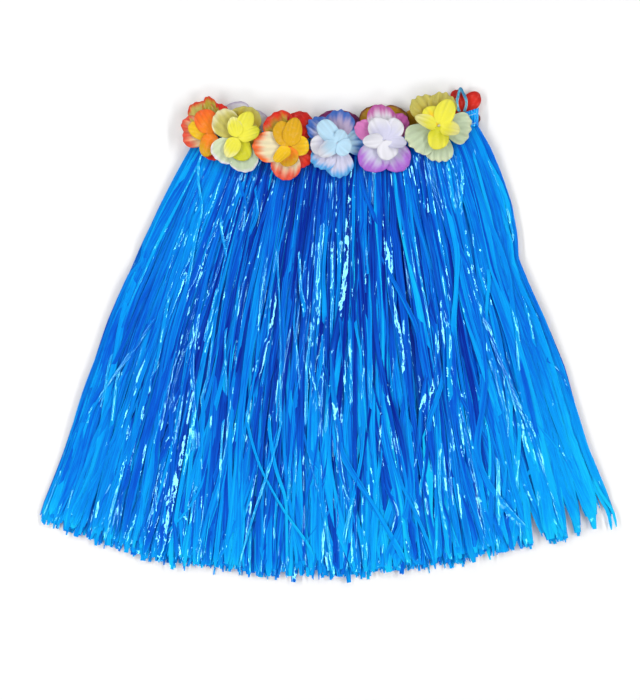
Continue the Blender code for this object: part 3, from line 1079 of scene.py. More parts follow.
class StitchRow(LineTool):
    """Lays a stitch at an even pitch along every polyline of a mesh."""

    def __init__(self) -> None:
        """Build the tree: lines to even points, with a long bead of thread on each."""
        super().__init__("stitch_row", ("Pitch", "Thread Radius"))
        lines = self.node("GeometryNodeMeshToCurve", {}, {"Mesh": self.given["Geometry"]})
        sockets = {"Curve": lines, "Length": self.given["Pitch"]}
        even = self.node("GeometryNodeResampleCurve", {"mode": "LENGTH"}, sockets)
        sockets = {"Vector": self.node("GeometryNodeInputTangent")}
        along = self.node("FunctionNodeAlignRotationToVector", {"axis": "X"}, sockets)
        sockets = {"Segments": 8, "Rings": 6, "Radius": self.given["Thread Radius"]}
        bead = self.node("GeometryNodeMeshUVSphere", {}, sockets)
        long = self.node("GeometryNodeTransform", {}, {"Geometry": bead, "Scale": (3.6, 1.0, 0.9)})
        sockets = {"Points": even, "Instance": long, "Rotation": along}
        self.end(self.node("GeometryNodeInstanceOnPoints", {}, sockets))

    def run(
        self, name: str, line: np.ndarray, sizes: BandSizes, finish: bpy.types.Material
    ) -> bpy.types.Object:
        """Lay stitches along a line of points and return the piece.

        Args:
            name: Name of what is made.
            line: Points of the line, in the frame.
            sizes: The band's sizes.
            finish: The material that the result wears.

        Returns:
            The piece.
        """
        lines = bpy.data.meshes.new(name + "_line")
        lines.from_pydata(line.tolist(), [(index, index + 1) for index in range(len(line) - 1)], [])
        values = {"Pitch": sizes.stitch_pitch, "Thread Radius": sizes.stitch_radius, "Finish": finish}
        stitches = self.made(name + "_line", lines, values)
        stitches.shade_smooth()
        return add_piece(name, stitches, None)


@dataclass(frozen=True)
class ThreadFinish:
    """Pale twisted sewing thread."""

    name: str = "pale_thread"
    colour: Colour = (0.60, 0.84, 0.94)
    shade: Colour = (0.28, 0.58, 0.78)

    def material(self) -> bpy.types.Material:
        """Build the material.

        Returns:
            The material.
        """
        s = Shader(self.name)
        twist = s.noise(s.place(), 2600.0)
        colour = s.mix(twist, self.colour, self.shade)
        return s.principled({"Base Color": colour, "Roughness": 0.5, "Normal": s.bump(twist, 0.4, 0.0001)})


class Waistband:
    """The shirred film band: one flattened loop with rows of stitches on its front."""

    def __init__(self, layout: Layout, film: bpy.types.Material) -> None:
        """Keep the layout and the finishes.

        Args:
            layout: The skirt's outline and heights.
            film: The film that the result is made of.
        """
        self.layout = layout
        self.film = film
        self.sizes = BandSizes()

    def loop(self, turn: np.ndarray) -> tuple[np.ndarray, ...]:
        """The band's middle line in X and Z, and its outward direction, once round.

        Args:
            turn: Shares of the way round, from the front's left end.

        Returns:
            X, Z and the outward direction's X and Z.
        """
        low, high = self.layout.band_low, self.layout.band_high
        inset = self.sizes.wall / 2 + self.sizes.ruffle_depth
        radius = (high - low) / 2 - inset
        left, right = SECTIONS[0].left + inset + radius, SECTIONS[0].right - inset - radius
        run, bend = right - left, math.pi * radius
        way = (turn % 1.0) * 2.0 * (run + bend)
        middle = (low + high) / 2
        front = way < run
        folded = (way >= run) & (way < run + bend)
        back = (way >= run + bend) & (way < 2 * run + bend)
        angle = np.where(folded, (way - run) / radius, (way - 2 * run - bend) / radius + math.pi)
        out_x = np.where(front | back, 0.0, np.sin(angle))
        out_z = np.where(front, 1.0, np.where(back, -1.0, np.cos(angle)))
        returning = np.where(back, right - (way - run - bend), left)
        centre_x = np.where(front, left + way, np.where(folded, right, returning))
        return centre_x + radius * out_x, middle + radius * out_z, out_x, out_z

    def build(self) -> None:
        """Build the ruffled loop and its stitches."""
        sizes = self.sizes
        rng = np.random.default_rng(sizes.seed)
        turn = (np.arange(sizes.around) / sizes.around)[:, None]
        up = np.linspace(0.0, 1.0, sizes.across)[None, :]
        x, z, out_x, out_z = self.loop(turn)
        waves = (7, 17, 31, 53)
        wobble = sum(rng.normal(0.0, 1.1) * np.sin(2 * math.pi * (n * turn + rng.random())) for n in waves)
        phase = 2 * math.pi * sizes.ruffles * turn + wobble + 0.9 * np.sin(3.0 * up + 20.0 * turn)
        pinch = np.ones_like(up)
        for row in sizes.stitch_rows:
            pinch = pinch * (1.0 - 0.75 * np.exp(-(((up - row) / 0.07) ** 2)))
        swell = sizes.ruffle_depth * np.sin(phase) * pinch
        flare = 1.0 + 0.02 * np.sin(phase * 0.5) * np.abs(up - 0.5)
        y = self.layout.band_line(x) + self.layout.band_height * 0.985 * (up - 0.5) * flare
        sides = []
        for wall in (sizes.wall / 2, -sizes.wall / 2):
            shift = swell + wall
            sides.append(np.stack([x + out_x * shift, y + 0.0 * shift, z + out_z * shift], axis=-1))
        grid = self.layout.to_frame(np.stack(sides))
        # Painted light and shade: the ruffles' crests are painted paler and their hollows deeper, in step
        # with the swell.
        mesh = self.mesh(grid, 0.58 + 0.24 * np.sin(phase) * pinch)
        piece = add_piece("waistband_film", mesh, self.film)
        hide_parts("waistband")
        self.stitches()

    def mesh(self, grid: np.ndarray, shade: np.ndarray) -> bpy.types.Mesh:
        """Close the loop's outer and inner sides into one mesh with the film's attributes.

        Args:
            grid: Points by side of the film, step along the loop and step over its height.
            shade: How pale the film is at each point, painted light and shade on the ruffles included.

        Returns:
            The mesh.
        """
        _, around, across, _ = grid.shape
        index = np.arange(2 * around * across).reshape(2, around, across)
        after = np.roll(index, -1, axis=1)
        outer = np.stack([index[0, :, :-1], after[0, :, :-1], after[0, :, 1:], index[0, :, 1:]], axis=-1)
        inner = np.stack([index[1, :, 1:], after[1, :, 1:], after[1, :, :-1], index[1, :, :-1]], axis=-1)
        below = np.stack([index[1, :, 0], after[1, :, 0], after[0, :, 0], index[0, :, 0]], axis=-1)
        above = np.stack([index[0, :, -1], after[0, :, -1], after[1, :, -1], index[1, :, -1]], axis=-1)
        faces = np.concatenate([part.reshape(-1, 4) for part in (outer, inner, below, above)])
        mesh = bpy.data.meshes.new("waistband_film")
        mesh.from_pydata(grid.reshape(-1, 3).tolist(), [], faces.tolist())
        shades = np.broadcast_to(shade, (2, around, across)).reshape(-1)
        store(mesh, "shade", np.clip(shades, 0, 1))
        store(mesh, "clear", np.ones(shades.size))
        store(mesh, "film_run", grid * np.array([90.0, 60.0, 0.0]), "FLOAT_VECTOR")
        mesh.shade_smooth()
        return mesh

    def stitches(self) -> None:
        """Lay the rows of stitches on the band's front."""
        thread, row = ThreadFinish().material(), StitchRow()
        inset, points = self.sizes.stitch_inset, self.sizes.stitch_points
        run = np.linspace(SECTIONS[0].left + inset, SECTIONS[0].right - inset, points)
        for number, share in enumerate(self.sizes.stitch_rows, start=1):
            y = self.layout.band_line(run) + self.layout.band_height * (share - 0.5)
            z = np.full_like(run, self.layout.band_high - self.sizes.ruffle_depth * 0.8)
            line = self.layout.to_frame(np.stack([run, y, z], axis=-1))
            piece = row.run(f"band_stitches_{number}", line, self.sizes, thread)


class TieLoop:
    """The thin ribbon that stands out of the band's upper edge as a loop, flat on the flowers."""

    middle_x: float = 0.1215
    half_width: float = 0.0013
    fold: float = 0.2
    route: tuple[tuple[float, float, float], ...] = (
        (-0.0020, 0.0014, 0.0066),
        (-0.0034, 0.0060, 0.0068),
        (-0.0040, 0.0110, 0.0071),
        (-0.0028, 0.0165, 0.0074),
        (-0.0010, 0.0222, 0.0076),
        (0.0016, 0.0175, 0.0074),
        (0.0040, 0.0120, 0.0071),
        (0.0042, 0.0070, 0.0068),
        (0.0026, 0.0014, 0.0066),
    )

    def __init__(self, layout: Layout, sweep: StrandSweep, film: bpy.types.Material) -> None:
        """Keep what the ribbon is made with.

        Args:
            layout: The skirt's outline and heights.
            sweep: The tool that makes strands from lines.
            film: The film that the result is made of.
        """
        self.layout = layout
        self.sweep = sweep
        self.film = film

    def line(self) -> np.ndarray:
        """The ribbon's middle line in the frame, as one smooth curve through the route.

        Returns:
            The points, in order.
        """
        edge = self.layout.band_line(self.middle_x) + self.layout.band_height / 2
        knots = np.array(self.route) + np.array([self.middle_x, edge, 0.0])
        padded = np.concatenate([knots[:1], knots, knots[-1:]])
        points = []
        for a, b, c, d in zip(padded, padded[1:], padded[2:], padded[3:]):
            for t in np.linspace(0.0, 1.0, 5, endpoint=False):
                square, cube = (2 * a - 5 * b + 4 * c - d) * t ** 2, (3 * b - a - 3 * c + d) * t ** 3
                points.append(0.5 * (2 * b + (c - a) * t + square + cube))
        points.append(knots[-1])
        return self.layout.to_frame(np.array(points))

    def build(self) -> None:
        line = self.line()
        steps = len(line)
        share = np.linspace(0.0, 1.0, steps)
        turn = 0.5 * np.sin(3.0 * math.pi * share)[None, :]
        shade = (0.62 + 0.22 * np.sin(9.0 * share))[None, :]
        run = np.stack([share * 4.0, share * 0.0, share * 0.0], axis=-1)[None]
        breadth = np.full((1, steps), self.half_width)
        guides = Guides(line[None], breadth, turn, shade, np.zeros((1, steps)), np.ones((1, steps)), run)
        piece = self.sweep.run("tie_ribbon", guides, self.fold, self.film)
        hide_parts("tie_loop")
        2 * self.half_width


# --------------------------------------------------------------------------- flowers


class Dye(Enum):
    """The fabric petals' dyes, as sRGB hex."""

    KHAKI = "cdc260"
    OLIVE = "c4ac28"
    PALE_GREEN = "dbe6c0"
    SAGE = "c8d8b6"
    STRAW = "eee7b0"
    LEMON = "f3ec45"
    CITRON = "dcda28"
    PALE_LEMON = "f9f398"
    GOLD = "e6ae08"
    SUN = "fccb0c"
    AMBER = "c8960f"
    ORANGE = "ff8a12"
    FLAME = "fb6a1a"
    RED = "e3230c"
    DEEP_RED = "c81006"
    WINE = "6e0a14"
    CORAL = "ee5238"
    CREAM = "f3e6bd"
    MOSS = "b8a52c"
    NAVY = "3a6cc4"
    SKY = "55b2f2"
    AZURE = "2f86e2"
    MAUVE = "bdaccc"
    ICE = "bfe4fa"
    LILAC = "d9d8f0"
    SNOW = "efeef6"
    MAGENTA = "c255a4"
    PINK = "e07fc4"
    VIOLET = "b468d8"
    PLUM = "7d1f63"

    def linear(self) -> np.ndarray:
        """The hex value as linear colour."""
        parts = np.array([int(self.value[start:start + 2], 16) for start in (0, 2, 4)]) / 255.0
        return np.where(parts < 0.04045, parts / 12.92, ((parts + 0.055) / 1.055) ** 2.4)


class Petal(NamedTuple):
    """A petal: direction in degrees, reach and half width in mm, dyes, and how it is bent.

    rim_from is where the rim's colour starts, as a share of the reach. roll turns the petal about
    its own length, and lift raises its tip, both in degrees.
    """

    angle: float
    reach: float
    half: float
    base: Dye
    rim: Dye
    rim_from: float = 0.6
    roll: float = 0.0
    lift: float = 0.0


@dataclass(frozen=True)
class Cut:
    """How a layer's petals are cut and pressed, and how finely they are meshed."""

    pleats: float
    pleat_depth: float
    corner: float
    taper: float
    scallop: float
    cup: float
    rows: int
    columns: int
    wall: float = 0.00025


PRESSED = Cut(4.0, 0.00110, corner=0.33, taper=1.6, scallop=0.028, cup=0.05, rows=20, columns=33)
SOFT = Cut(4.0, 0.00050, corner=0.38, taper=2.1, scallop=0.012, cup=0.06, rows=18, columns=25)
TONGUE = Cut(5.0, 0.00022, corner=0.50, taper=3.3, scallop=0.0, cup=0.16, rows=16, columns=19)
ROUND = Cut(3.0, 0.00015, corner=0.46, taper=3.0, scallop=0.0, cup=0.14, rows=16, columns=17)
PLAIN = Cut(5.0, 0.00030, corner=0.36, taper=1.5, scallop=0.008, cup=0.0, rows=10, columns=15)


Petals = tuple[Petal, ...]


class Flower(NamedTuple):
    """A flower: its node's name, its layers' cuts and petals, and how far it leans to the right."""

    name: str
    outer_cut: Cut
    outer: Petals
    inner_cut: Cut
    inner: Petals
    lean: float
    open_middle: float = 0.012


FRONT_FLOWERS = (
    Flower(
        "flower_front_1",
        SOFT,
        (
            Petal(78, 28, 10, Dye.RED, Dye.RED),
            Petal(98, 33, 7.5, Dye.MOSS, Dye.RED, 0.88),
            Petal(122, 33, 12, Dye.KHAKI, Dye.RED, 0.88),
            Petal(159, 30, 10, Dye.STRAW, Dye.CORAL, 0.70),
            Petal(186, 29, 11, Dye.STRAW, Dye.CORAL, 0.55),
            Petal(262, 24, 11, Dye.CORAL, Dye.RED),
        ),
        TONGUE,
        (
            Petal(166, 23, 9, Dye.GOLD, Dye.SUN, 0.3),
            Petal(248, 22, 8.5, Dye.ORANGE, Dye.GOLD, 0.5, roll=-14),
            Petal(121, 24, 10.5, Dye.ORANGE, Dye.FLAME, 0.45, lift=3),
        ),
        -2.0,
    ),
    Flower(
        "flower_front_2",
        SOFT,
        (
            Petal(5, 22, 11, Dye.KHAKI, Dye.KHAKI),
            Petal(68, 29.5, 14.5, Dye.OLIVE, Dye.KHAKI, 0.80),
            Petal(130, 28.5, 12.8, Dye.KHAKI, Dye.STRAW, 0.80, lift=4),
            Petal(225, 28, 12.2, Dye.PALE_GREEN, Dye.SNOW, 0.90),
            Petal(286, 31, 13.6, Dye.SAGE, Dye.SNOW, 0.93),
        ),
        TONGUE,
        (
            Petal(285, 22, 9.6, Dye.CITRON, Dye.CITRON),
            Petal(18, 21, 7.5, Dye.LEMON, Dye.CITRON, 0.7, roll=-24),
            Petal(241, 19.5, 7.5, Dye.LEMON, Dye.PALE_LEMON, 0.7, roll=14),
            Petal(64, 25.5, 8.0, Dye.LEMON, Dye.LEMON, roll=10),
            Petal(104, 18, 6.8, Dye.LEMON, Dye.PALE_LEMON, 0.8, lift=6),
        ),
        5.0,
    ),
    Flower(
        "flower_front_3",
        SOFT,
        (
            Petal(319, 24, 10, Dye.CORAL, Dye.RED),
            Petal(66, 33, 13.5, Dye.RED, Dye.DEEP_RED, 0.7),
            Petal(117, 34, 14.5, Dye.MOSS, Dye.RED, 0.72),
            Petal(259, 29.5, 13.5, Dye.CREAM, Dye.CORAL, 0.60),
            Petal(182, 32, 14, Dye.CREAM, Dye.FLAME, 0.74, lift=3),
        ),
        TONGUE,
        (
            Petal(3, 18, 9, Dye.GOLD, Dye.SUN, 0.5, roll=12),
            Petal(227, 20, 7.0, Dye.SUN, Dye.SUN, roll=38),
            Petal(264, 18.5, 9, Dye.ORANGE, Dye.GOLD, 0.35),
            Petal(117, 24, 9, Dye.GOLD, Dye.GOLD),
            Petal(77, 25, 8.4, Dye.GOLD, Dye.GOLD, lift=5),
        ),
        5.0,
    ),
    Flower(
        "flower_front_4",
        PRESSED,
        (
            Petal(7, 26, 13, Dye.ICE, Dye.AZURE, 0.60),
            Petal(84, 29, 13.5, Dye.MAUVE, Dye.NAVY, 0.70),
            Petal(142, 31.5, 11.5, Dye.LILAC, Dye.NAVY, 0.62),
            Petal(227, 29, 11.5, Dye.LILAC, Dye.SKY, 0.78),
            Petal(274, 30, 13, Dye.LILAC, Dye.SKY, 0.78),
        ),
        ROUND,
        (
            Petal(60, 12, 7, Dye.ICE, Dye.ICE, roll=20),
            Petal(214, 20, 8.0, Dye.ICE, Dye.SNOW, 0.5, roll=-34),
            Petal(188, 25.5, 9.4, Dye.LILAC, Dye.SNOW, 0.5),
            Petal(130, 25.5, 8.6, Dye.ICE, Dye.ICE, lift=4),
            Petal(322, 13.5, 8.4, Dye.ICE, Dye.ICE, lift=16),
        ),
        5.0,
    ),
    Flower(
        "flower_front_5",
        SOFT,
        (
            Petal(48, 29, 10.5, Dye.PINK, Dye.MAGENTA, 0.55),
            Petal(150, 29, 10, Dye.PINK, Dye.PINK, 0.5),
            Petal(98, 32.5, 13.2, Dye.SNOW, Dye.MAGENTA, 0.70),
            Petal(304, 30.5, 13.6, Dye.LILAC, Dye.VIOLET, 0.50),
            Petal(238, 31, 14.6, Dye.LILAC, Dye.VIOLET, 0.62),
        ),
        ROUND,
        (
            Petal(354, 19, 7.5, Dye.LILAC, Dye.LILAC, roll=-30),
            Petal(187, 19.5, 7.5, Dye.SNOW, Dye.SNOW, roll=-36),
            Petal(54, 23, 9.4, Dye.LILAC, Dye.SNOW, 0.5),
            Petal(115, 21.5, 10.4, Dye.LILAC, Dye.SNOW, 0.5),
            Petal(286, 18, 9.6, Dye.SNOW, Dye.SNOW, lift=6),
        ),
        5.0,
    ),
    Flower(
        "flower_front_6",
        PRESSED,
        (
            Petal(128, 32.5, 13, Dye.OLIVE, Dye.KHAKI, 0.55),
            Petal(80, 29.5, 13.4, Dye.OLIVE, Dye.KHAKI, 0.55),
            Petal(271, 33, 12.8, Dye.SAGE, Dye.PALE_GREEN, 0.85),
            Petal(-6, 29.5, 14.6, Dye.SAGE, Dye.PALE_GREEN, 0.85),
            Petal(216, 32, 15.4, Dye.SAGE, Dye.PALE_GREEN, 0.85),
        ),
        ROUND,
        (
            Petal(162, 22, 8.0, Dye.LEMON, Dye.PALE_LEMON, 0.5, roll=40),
            Petal(-14, 19.5, 9.5, Dye.LEMON, Dye.PALE_LEMON, 0.5, roll=-42),
            Petal(123, 19.5, 9.4, Dye.SUN, Dye.LEMON, 0.5),
            Petal(66, 24.5, 9.2, Dye.LEMON, Dye.LEMON, lift=4),
            Petal(267, 22, 9.6, Dye.CITRON, Dye.LEMON, 0.3, lift=4),
        ),
        4.0,
        0.055,
    ),
)


def even_petals(turn: float, reach: float, half: float, base: Dye, rim: Dye, rim_from: float = 0.6) -> Petals:
    """Five equal petals round a flower."""
    return tuple(Petal(turn + 72.0 * index, reach, half, base, rim, rim_from) for index in range(5))


def back_flower(number: int, outer: Petals, base: Dye, rim: Dye) -> Flower:
    """A plainly cut flower under the band, with even inner petals between two dyes."""
    return Flower(f"flower_back_{number}", PLAIN, outer, PLAIN, even_petals(60, 16, 7, base, rim), 0.0)


RED_LOBES = (
    Petal(109, 25.5, 6.5, Dye.RED, Dye.DEEP_RED, 0.8),
    Petal(62, 24, 7.8, Dye.RED, Dye.DEEP_RED, 0.8),
    Petal(-14, 14.5, 5.5, Dye.WINE, Dye.WINE),
    Petal(190, 22, 9.5, Dye.RED, Dye.DEEP_RED, 0.7),
    Petal(260, 22, 9.5, Dye.RED, Dye.DEEP_RED, 0.7),
)

BACK_FLOWERS = (
    back_flower(1, even_petals(99, 27.5, 12, Dye.SNOW, Dye.MAUVE, 0.93), Dye.ICE, Dye.SNOW),
    back_flower(2, even_petals(90, 24, 12, Dye.KHAKI, Dye.STRAW, 0.8), Dye.LEMON, Dye.LEMON),
    back_flower(3, even_petals(54, 27.5, 14, Dye.MAGENTA, Dye.PLUM, 0.7), Dye.PINK, Dye.LILAC),
    back_flower(4, even_petals(54, 27.0, 13, Dye.AMBER, Dye.WINE, 0.93), Dye.GOLD, Dye.GOLD),
    back_flower(5, even_petals(90, 24, 12, Dye.AMBER, Dye.AMBER, 0.7), Dye.ICE, Dye.SNOW),
    Flower("flower_back_6", PLAIN, RED_LOBES, PLAIN, even_petals(70, 12, 6, Dye.RED, Dye.GOLD), 0.0),
)


@dataclass(frozen=True)
class FabricFinish:
    """Thin woven petal fabric in the colour of its dye attribute, which carries painted shade."""

    name: str = "petal_fabric"
    weave_per_m: float = 2600.0
    weave_depth: float = 0.00010
    mottle_per_m: float = 330.0
    roughness: float = 0.55

    def material(self) -> bpy.types.Material:
        """Build the material.

        Returns:
            The material.
        """
        s = Shader(self.name)
        place = s.place()
        # The petals' colour attribute carries painted shade along with their dyes.
        dye_with_painted_shade = s.attribute("dye_with_painted_shade", "Color")
        mottle = s.noise(place, self.mottle_per_m, 3.0)
        colour = s.mix((mottle - 0.5).clamp() * 0.22, dye_with_painted_shade, (1.0, 1.0, 1.0))
        sockets = {"Vector": place, "Scale": self.weave_per_m, "Distortion": 0.6}
        settings = {"wave_type": "BANDS", "bands_direction": "DIAGONAL"}
        weave = s.node("ShaderNodeTexWave", settings, sockets, "Fac")
        normal = s.bump(weave, 0.35, self.weave_depth)
        return s.principled(
            {
                "Base Color": colour,
                "Roughness": self.roughness,
                "Specular IOR Level": 0.25,
                "Sheen Weight": 0.15,
                "Normal": normal,
            }
        )


@dataclass(frozen=True)
class StudFinish:
    """Milky moulded plastic."""

    name: str = "milky_plastic"
    colour: Colour = (0.80, 0.78, 0.62)
    shade: Colour = (0.66, 0.60, 0.30)

    def material(self) -> bpy.types.Material:
        """Build the material.

        Returns:
            The material.
        """
        s = Shader(self.name)
        colour = s.mix(s.noise(s.place(), 900.0), self.colour, self.shade)
        return s.principled({"Base Color": colour, "Roughness": 0.22, "Coat Weight": 0.3})


class MeshDraft:
    """Points, faces and dyes gathered from many closed sheets into one mesh, painted shade included."""

    def __init__(self) -> None:
        """Start with nothing."""
        self.points: list[np.ndarray] = []
        self.faces: list[np.ndarray] = []
        self.dyes: list[np.ndarray] = []
        self.count = 0

    def add_sheet(self, top: np.ndarray, wall: float, dye_with_painted_shade: np.ndarray) -> None:
        """Add a grid of points as a closed sheet with a wall below it.

        Args:
            top: The upper side's points by row and column, turning left from rows to columns.
            wall: The sheet's thickness.
            dye_with_painted_shade: Each point's colour by row and column, painted shade included.
        """
        rows, columns, _ = top.shape
        bottom = top - np.array([0.0, 0.0, wall])
        index = np.arange(rows * columns).reshape(rows, columns) + self.count
        under = index + rows * columns
        quad = np.stack([index[:-1, :-1], index[1:, :-1], index[1:, 1:], index[:-1, 1:]], axis=-1)
        quad = quad.reshape(-1, 4)
        faces = [quad, quad[:, ::-1] + rows * columns]
        rim = np.concatenate([index[:, 0], index[-1, 1:], index[-2::-1, -1], index[0, -2::-1]])
        rim_under = np.concatenate([under[:, 0], under[-1, 1:], under[-2::-1, -1], under[0, -2::-1]])
        faces.append(np.stack([rim[1:], rim[:-1], rim_under[:-1], rim_under[1:]], axis=-1))
        self.points += [top.reshape(-1, 3), bottom.reshape(-1, 3)]
        self.dyes += [dye_with_painted_shade.reshape(-1, 3)] * 2
        self.faces += faces
        self.count += 2 * rows * columns

    def mesh(self, name: str) -> bpy.types.Mesh:
        """The gathered sheets as one smooth mesh with a dye attribute that carries painted shade.

        Args:
            name: Name of what is made.

        Returns:
            The mesh.
        """
        points, faces = np.concatenate(self.points), np.concatenate(self.faces)
        mesh = bpy.data.meshes.new(name)
        mesh.from_pydata(points.tolist(), [], faces.tolist())
        # The colours stored here carry the petals' painted shade along with their dyes.
        layer = mesh.color_attributes.new("dye_with_painted_shade", "FLOAT_COLOR", "POINT")
        colours = np.concatenate([np.concatenate(self.dyes), np.ones((len(points), 1))], axis=1)
        layer.data.foreach_set("color", colours.reshape(-1).astype(np.float32))
        mesh.shade_smooth()
        return mesh


class Garland:
    """The front and back flowers, layer by layer, with their studs."""

    proud: float = 0.0014
    shown_stud: float = 0.05
    layer_step: float = 0.00028
    stud_steps: int = 20
    dome: tuple[tuple[float, float | None], ...] = (
        (0.45, -0.04),
        (0.8, -0.18),
        (1.0, -0.42),
        (0.92, -0.60),
        (0.5, -0.62),
        (0.5, None),
    )
    seed: int = 5

    def __init__(self) -> None:
        """Build the finishes that all flowers share."""
        self.fabric = FabricFinish().material()
        self.plastic = StudFinish().material()
        self.rng = np.random.default_rng(self.seed)

    def build(self) -> None:
        """Build every flower's two layers and its stud."""
        for flower in FRONT_FLOWERS + BACK_FLOWERS:
            self.layer(flower, "outer", flower.outer_cut, flower.outer)
            self.layer(flower, "inner", flower.inner_cut, flower.inner)
            self.stud(flower)

    def layer(self, flower: Flower, label: str, cut: Cut, petals: Sequence[Petal]) -> None:
        """Build one layer of petals as one piece in place of its node.

        Args:
            flower: The flower.
            label: Its layer, outer or inner.
            cut: How the petals are cut.
            petals: The petals, lowest first.
        """
        node = f"{flower.name}_{label}"
        low, high = corners(node)
        stud_low, stud_high = corners(flower.name + "_stud")
        centre = (stud_low + stud_high) / 2
        centre[2] = (low[2] + high[2]) / 2
        draft = MeshDraft()
        for order, petal in enumerate(petals):
            grid, dye_with_painted_shade = self.petal(petal, cut, order, flower.open_middle)
            grid[..., 2] -= grid[..., 0] * math.tan(math.radians(flower.lean))
            draft.add_sheet(grid + centre, cut.wall, dye_with_painted_shade)
        mesh = draft.mesh(node + "_petals")
        settle_on_table(mesh)
        piece = add_piece(node + "_petals", mesh, self.fabric)
        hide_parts(node)

    def petal(self, petal: Petal, cut: Cut, order: int, start: float) -> tuple[np.ndarray, np.ndarray]:
        """Shape and colour one petal about the flower's own centre.

        Args:
            petal: The petal's row.
            cut: How it is cut and pressed.
            order: How many petals of its layer lie below it.
            start: The share of its reach left open round the flower's stud.

        Returns:
            Its points and its colours, by row and column.
        """
        reach, half = petal.reach / MM_PER_M, petal.half / MM_PER_M
        out = np.linspace(start, 1.0, cut.rows)[:, None]
        side = np.sin(np.linspace(math.pi / 2, -math.pi / 2, cut.columns))[None, :]
        round_off = 1.0 - cut.corner * (1.0 - np.sqrt(1.0 - side ** 2))
        wave = np.cos(math.pi * cut.pleats * side + self.rng.uniform(0.0, 2.0))
        uneven = 1.0 + 0.035 * np.sin(2.3 * side + self.rng.uniform(0.0, 6.0))
        along = reach * out * (round_off * uneven + cut.scallop * wave * (1.0 - side ** 2) * out)
        across = half * side * (1.0 - (1.0 - out) ** cut.taper)
        rise = cut.pleat_depth * wave * out ** 1.4
        rise = rise + cut.cup * reach * (out ** 1.5 - 0.9 * out ** 3)
        rise = rise + 0.02 * reach * np.sin(3.0 * side + self.rng.uniform(0.0, 6.0)) * out ** 2
        rise = rise + along * math.tan(math.radians(petal.lift)) + order * self.layer_step
        roll = math.radians(petal.roll) * out
        rise = rise + across * np.sin(roll) + half * np.abs(np.sin(roll)) * 0.9
        across = across * np.cos(roll)
        angle = math.radians(petal.angle)
        x = along * math.cos(angle) - across * math.sin(angle)
        y = along * math.sin(angle) + across * math.cos(angle)
        return np.stack([x, y, rise], axis=-1), self.dye_and_painted_shade(petal, out, side, wave)

    def dye_and_painted_shade(self, petal: Petal, out: np.ndarray, side: np.ndarray, wave: np.ndarray) -> np.ndarray:
        """The colour over one petal: its base, a rim that bleeds inwards and streaks, with painted shade in
        the pleats' hollows and round the middle.

        Args:
            petal: The petal.
            out: Shares of the way from the middle to the rim.
            side: Shares of the breadth, from -1 to 1.
            wave: The rise and fall of the pleats, from -1 to 1.

        Returns:
            A colour for each point.
        """
        soft = min(1.0, 2.6 * (1.0 - petal.rim_from))
        bleed = 0.07 * np.sin(9.0 * side + self.rng.uniform(0.0, 6.0))
        bleed = bleed + 0.05 * np.sin(23.0 * side + self.rng.uniform(0.0, 6.0))
        start = petal.rim_from + bleed * soft
        share = np.clip((out - start + 0.12 * soft) / (1.0 - petal.rim_from + 0.06 * soft), 0.0, 1.0)
        share = (share * share * (3.0 - 2.0 * share))[..., None]
        colour = petal.base.linear() * (1.0 - share) + petal.rim.linear() * share
        streak = 0.5 + 0.5 * np.sin(14.0 * side + self.rng.uniform(0.0, 6.0))
        # Painted shade: darker in the pleats' hollows and round the middle, on top of the fabric's own
        # streaks.
        streaks_and_painted_shade = 1.0 - 0.12 * streak * out - 0.13 * (0.5 - 0.5 * wave) * out - 0.06 * np.exp(-out / 0.14)
        return colour * streaks_and_painted_shade[..., None]

    def stud(self, flower: Flower) -> None:
        """Build a flower's stud: a low moulded dome on its shaft, in place of its node.

        Args:
            flower: The flower.
        """
        node = flower.name + "_stud"
        low, high = corners(node)
        middle = (low + high) / 2
        radius = (high[1] - low[1]) / 2
        head = high[2] + (self.proud if flower.open_middle > self.shown_stud else 0.0)
        steps, rings = self.stud_steps, len(self.dome)
        points, faces = [(middle[0], middle[1], head)], []
        for share, drop in self.dome:
            z = low[2] if drop is None else max(low[2], head + drop * radius)
            for step in range(steps):
                angle = 2.0 * math.pi * step / steps
                out_x, out_y = share * radius * math.cos(angle), share * radius * math.sin(angle)
                points.append((middle[0] + out_x, middle[1] + out_y, z))
        for step in range(steps):
            after = (step + 1) % steps
            faces.append((0, 1 + step, 1 + after))
            for ring in range(rings - 1):
                near, far = 1 + ring * steps, 1 + (ring + 1) * steps
                faces.append((near + step, far + step, far + after, near + after))
        faces.append(tuple(1 + (rings - 1) * steps + step for step in reversed(range(steps))))
        mesh = bpy.data.meshes.new(node + "_dome")
        mesh.from_pydata(points, [], faces)
        mesh.shade_smooth()
        piece = add_piece(node + "_dome", mesh, self.plastic)
        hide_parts(node)


# --------------------------------------------------------------------------- studio


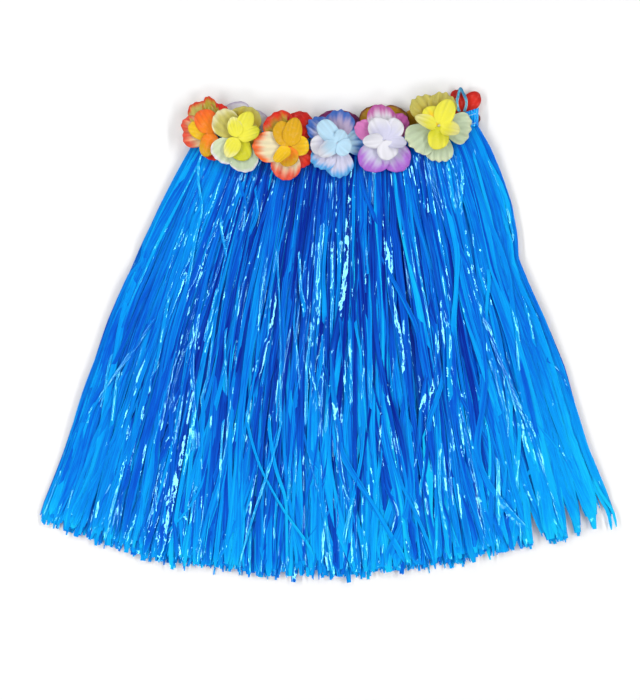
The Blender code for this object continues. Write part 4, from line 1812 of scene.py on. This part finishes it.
class Studio:
    """The floor, the lights and the camera."""

    view_height: float = 0.630
    distance: float = 1.8
    centre: tuple[float, float] = (-0.0054, -0.0144)

    def __init__(self, layout: Layout) -> None:
        """Keep the layout for the camera's place."""
        self.layout = layout

    def build(self) -> None:
        """Make the floor, the lights and the camera."""
        self.floor()
        self.strip("key_left", (-1.25, 0.10, 1.15), (2.4, 0.15), 19.0)
        self.strip("key_right", (1.35, 0.10, 1.25), (2.4, 0.15), 19.0)
        self.strip("high_front", (0.0, -1.7, 1.7), (1.6, 0.5), 13.0)
        self.strip("high_back", (0.0, 1.9, 1.9), (1.6, 0.5), 11.0)
        self.sky(0.19)
        self.camera()
        bpy.context.scene.view_settings.view_transform = "Standard"

    def floor(self) -> None:
        """A wide pale floor under the skirt."""
        shape = bmesh.new()
        bmesh.ops.create_grid(shape, x_segments=1, y_segments=1, size=6.0)
        mesh = bpy.data.meshes.new("floor")
        shape.to_mesh(mesh)
        shape.free()
        mesh.materials.append(FloorFinish().material())
        link("floor", mesh)

    @staticmethod
    def strip(name: str, place: tuple[float, float, float], size: tuple[float, float], power: float) -> None:
        """An area light that faces the skirt.

        Args:
            name: Name of what is made.
            place: Where it stands, in metres.
            size: Its sides, in metres.
            power: Its power, in watts.
        """
        light = bpy.data.lights.new(name, "AREA")
        light.shape = "RECTANGLE"
        light.size, light.size_y = size
        light.energy = power
        lamp = link(name, light)
        lamp.location = place
        lamp.rotation_euler = (-Vector(place)).to_track_quat("-Z", "Y").to_euler()

    @staticmethod
    def sky(strength: float) -> None:
        """An even white surround.

        Args:
            strength: How bright it is.
        """
        world = bpy.data.worlds.new("surround")
        world.use_nodes = True
        inputs = world.node_tree.nodes["Background"].inputs
        inputs["Color"].default_value = (1.0, 1.0, 1.0, 1.0)
        inputs["Strength"].default_value = strength
        bpy.context.scene.world = world

    def camera(self) -> None:
        """A camera straight above the skirt, with the waistband up."""
        data = bpy.data.cameras.new("camera")
        data.sensor_width = 36.0
        data.lens = data.sensor_width * self.distance / self.view_height
        camera = link("camera", data)
        camera.location = (*(np.array(self.centre) + self.layout.shift), self.distance)
        bpy.context.scene.camera = camera


def main() -> None:
    """Build the skirt's pieces in order."""
    logging.basicConfig(level=logging.INFO, format="%(name)s %(message)s")
    layout = Layout()
    film = FilmFinish().material()
    Studio(layout).build()
    sweep = StrandSweep()
    ribbon = FilmFinish(
        "ribbon_film",
        deep=(0.01, 0.06, 0.16),
        middle=(0.03, 0.16, 0.34),
        bright=(0.09, 0.36, 0.58),
        pale=(0.30, 0.64, 0.82),
    )
    TieLoop(layout, sweep, ribbon.material()).build()
    Fringe(layout, sweep, film).build()
    Waistband(layout, film).build()
    Garland().build()


if __name__ == "__main__":
    main()
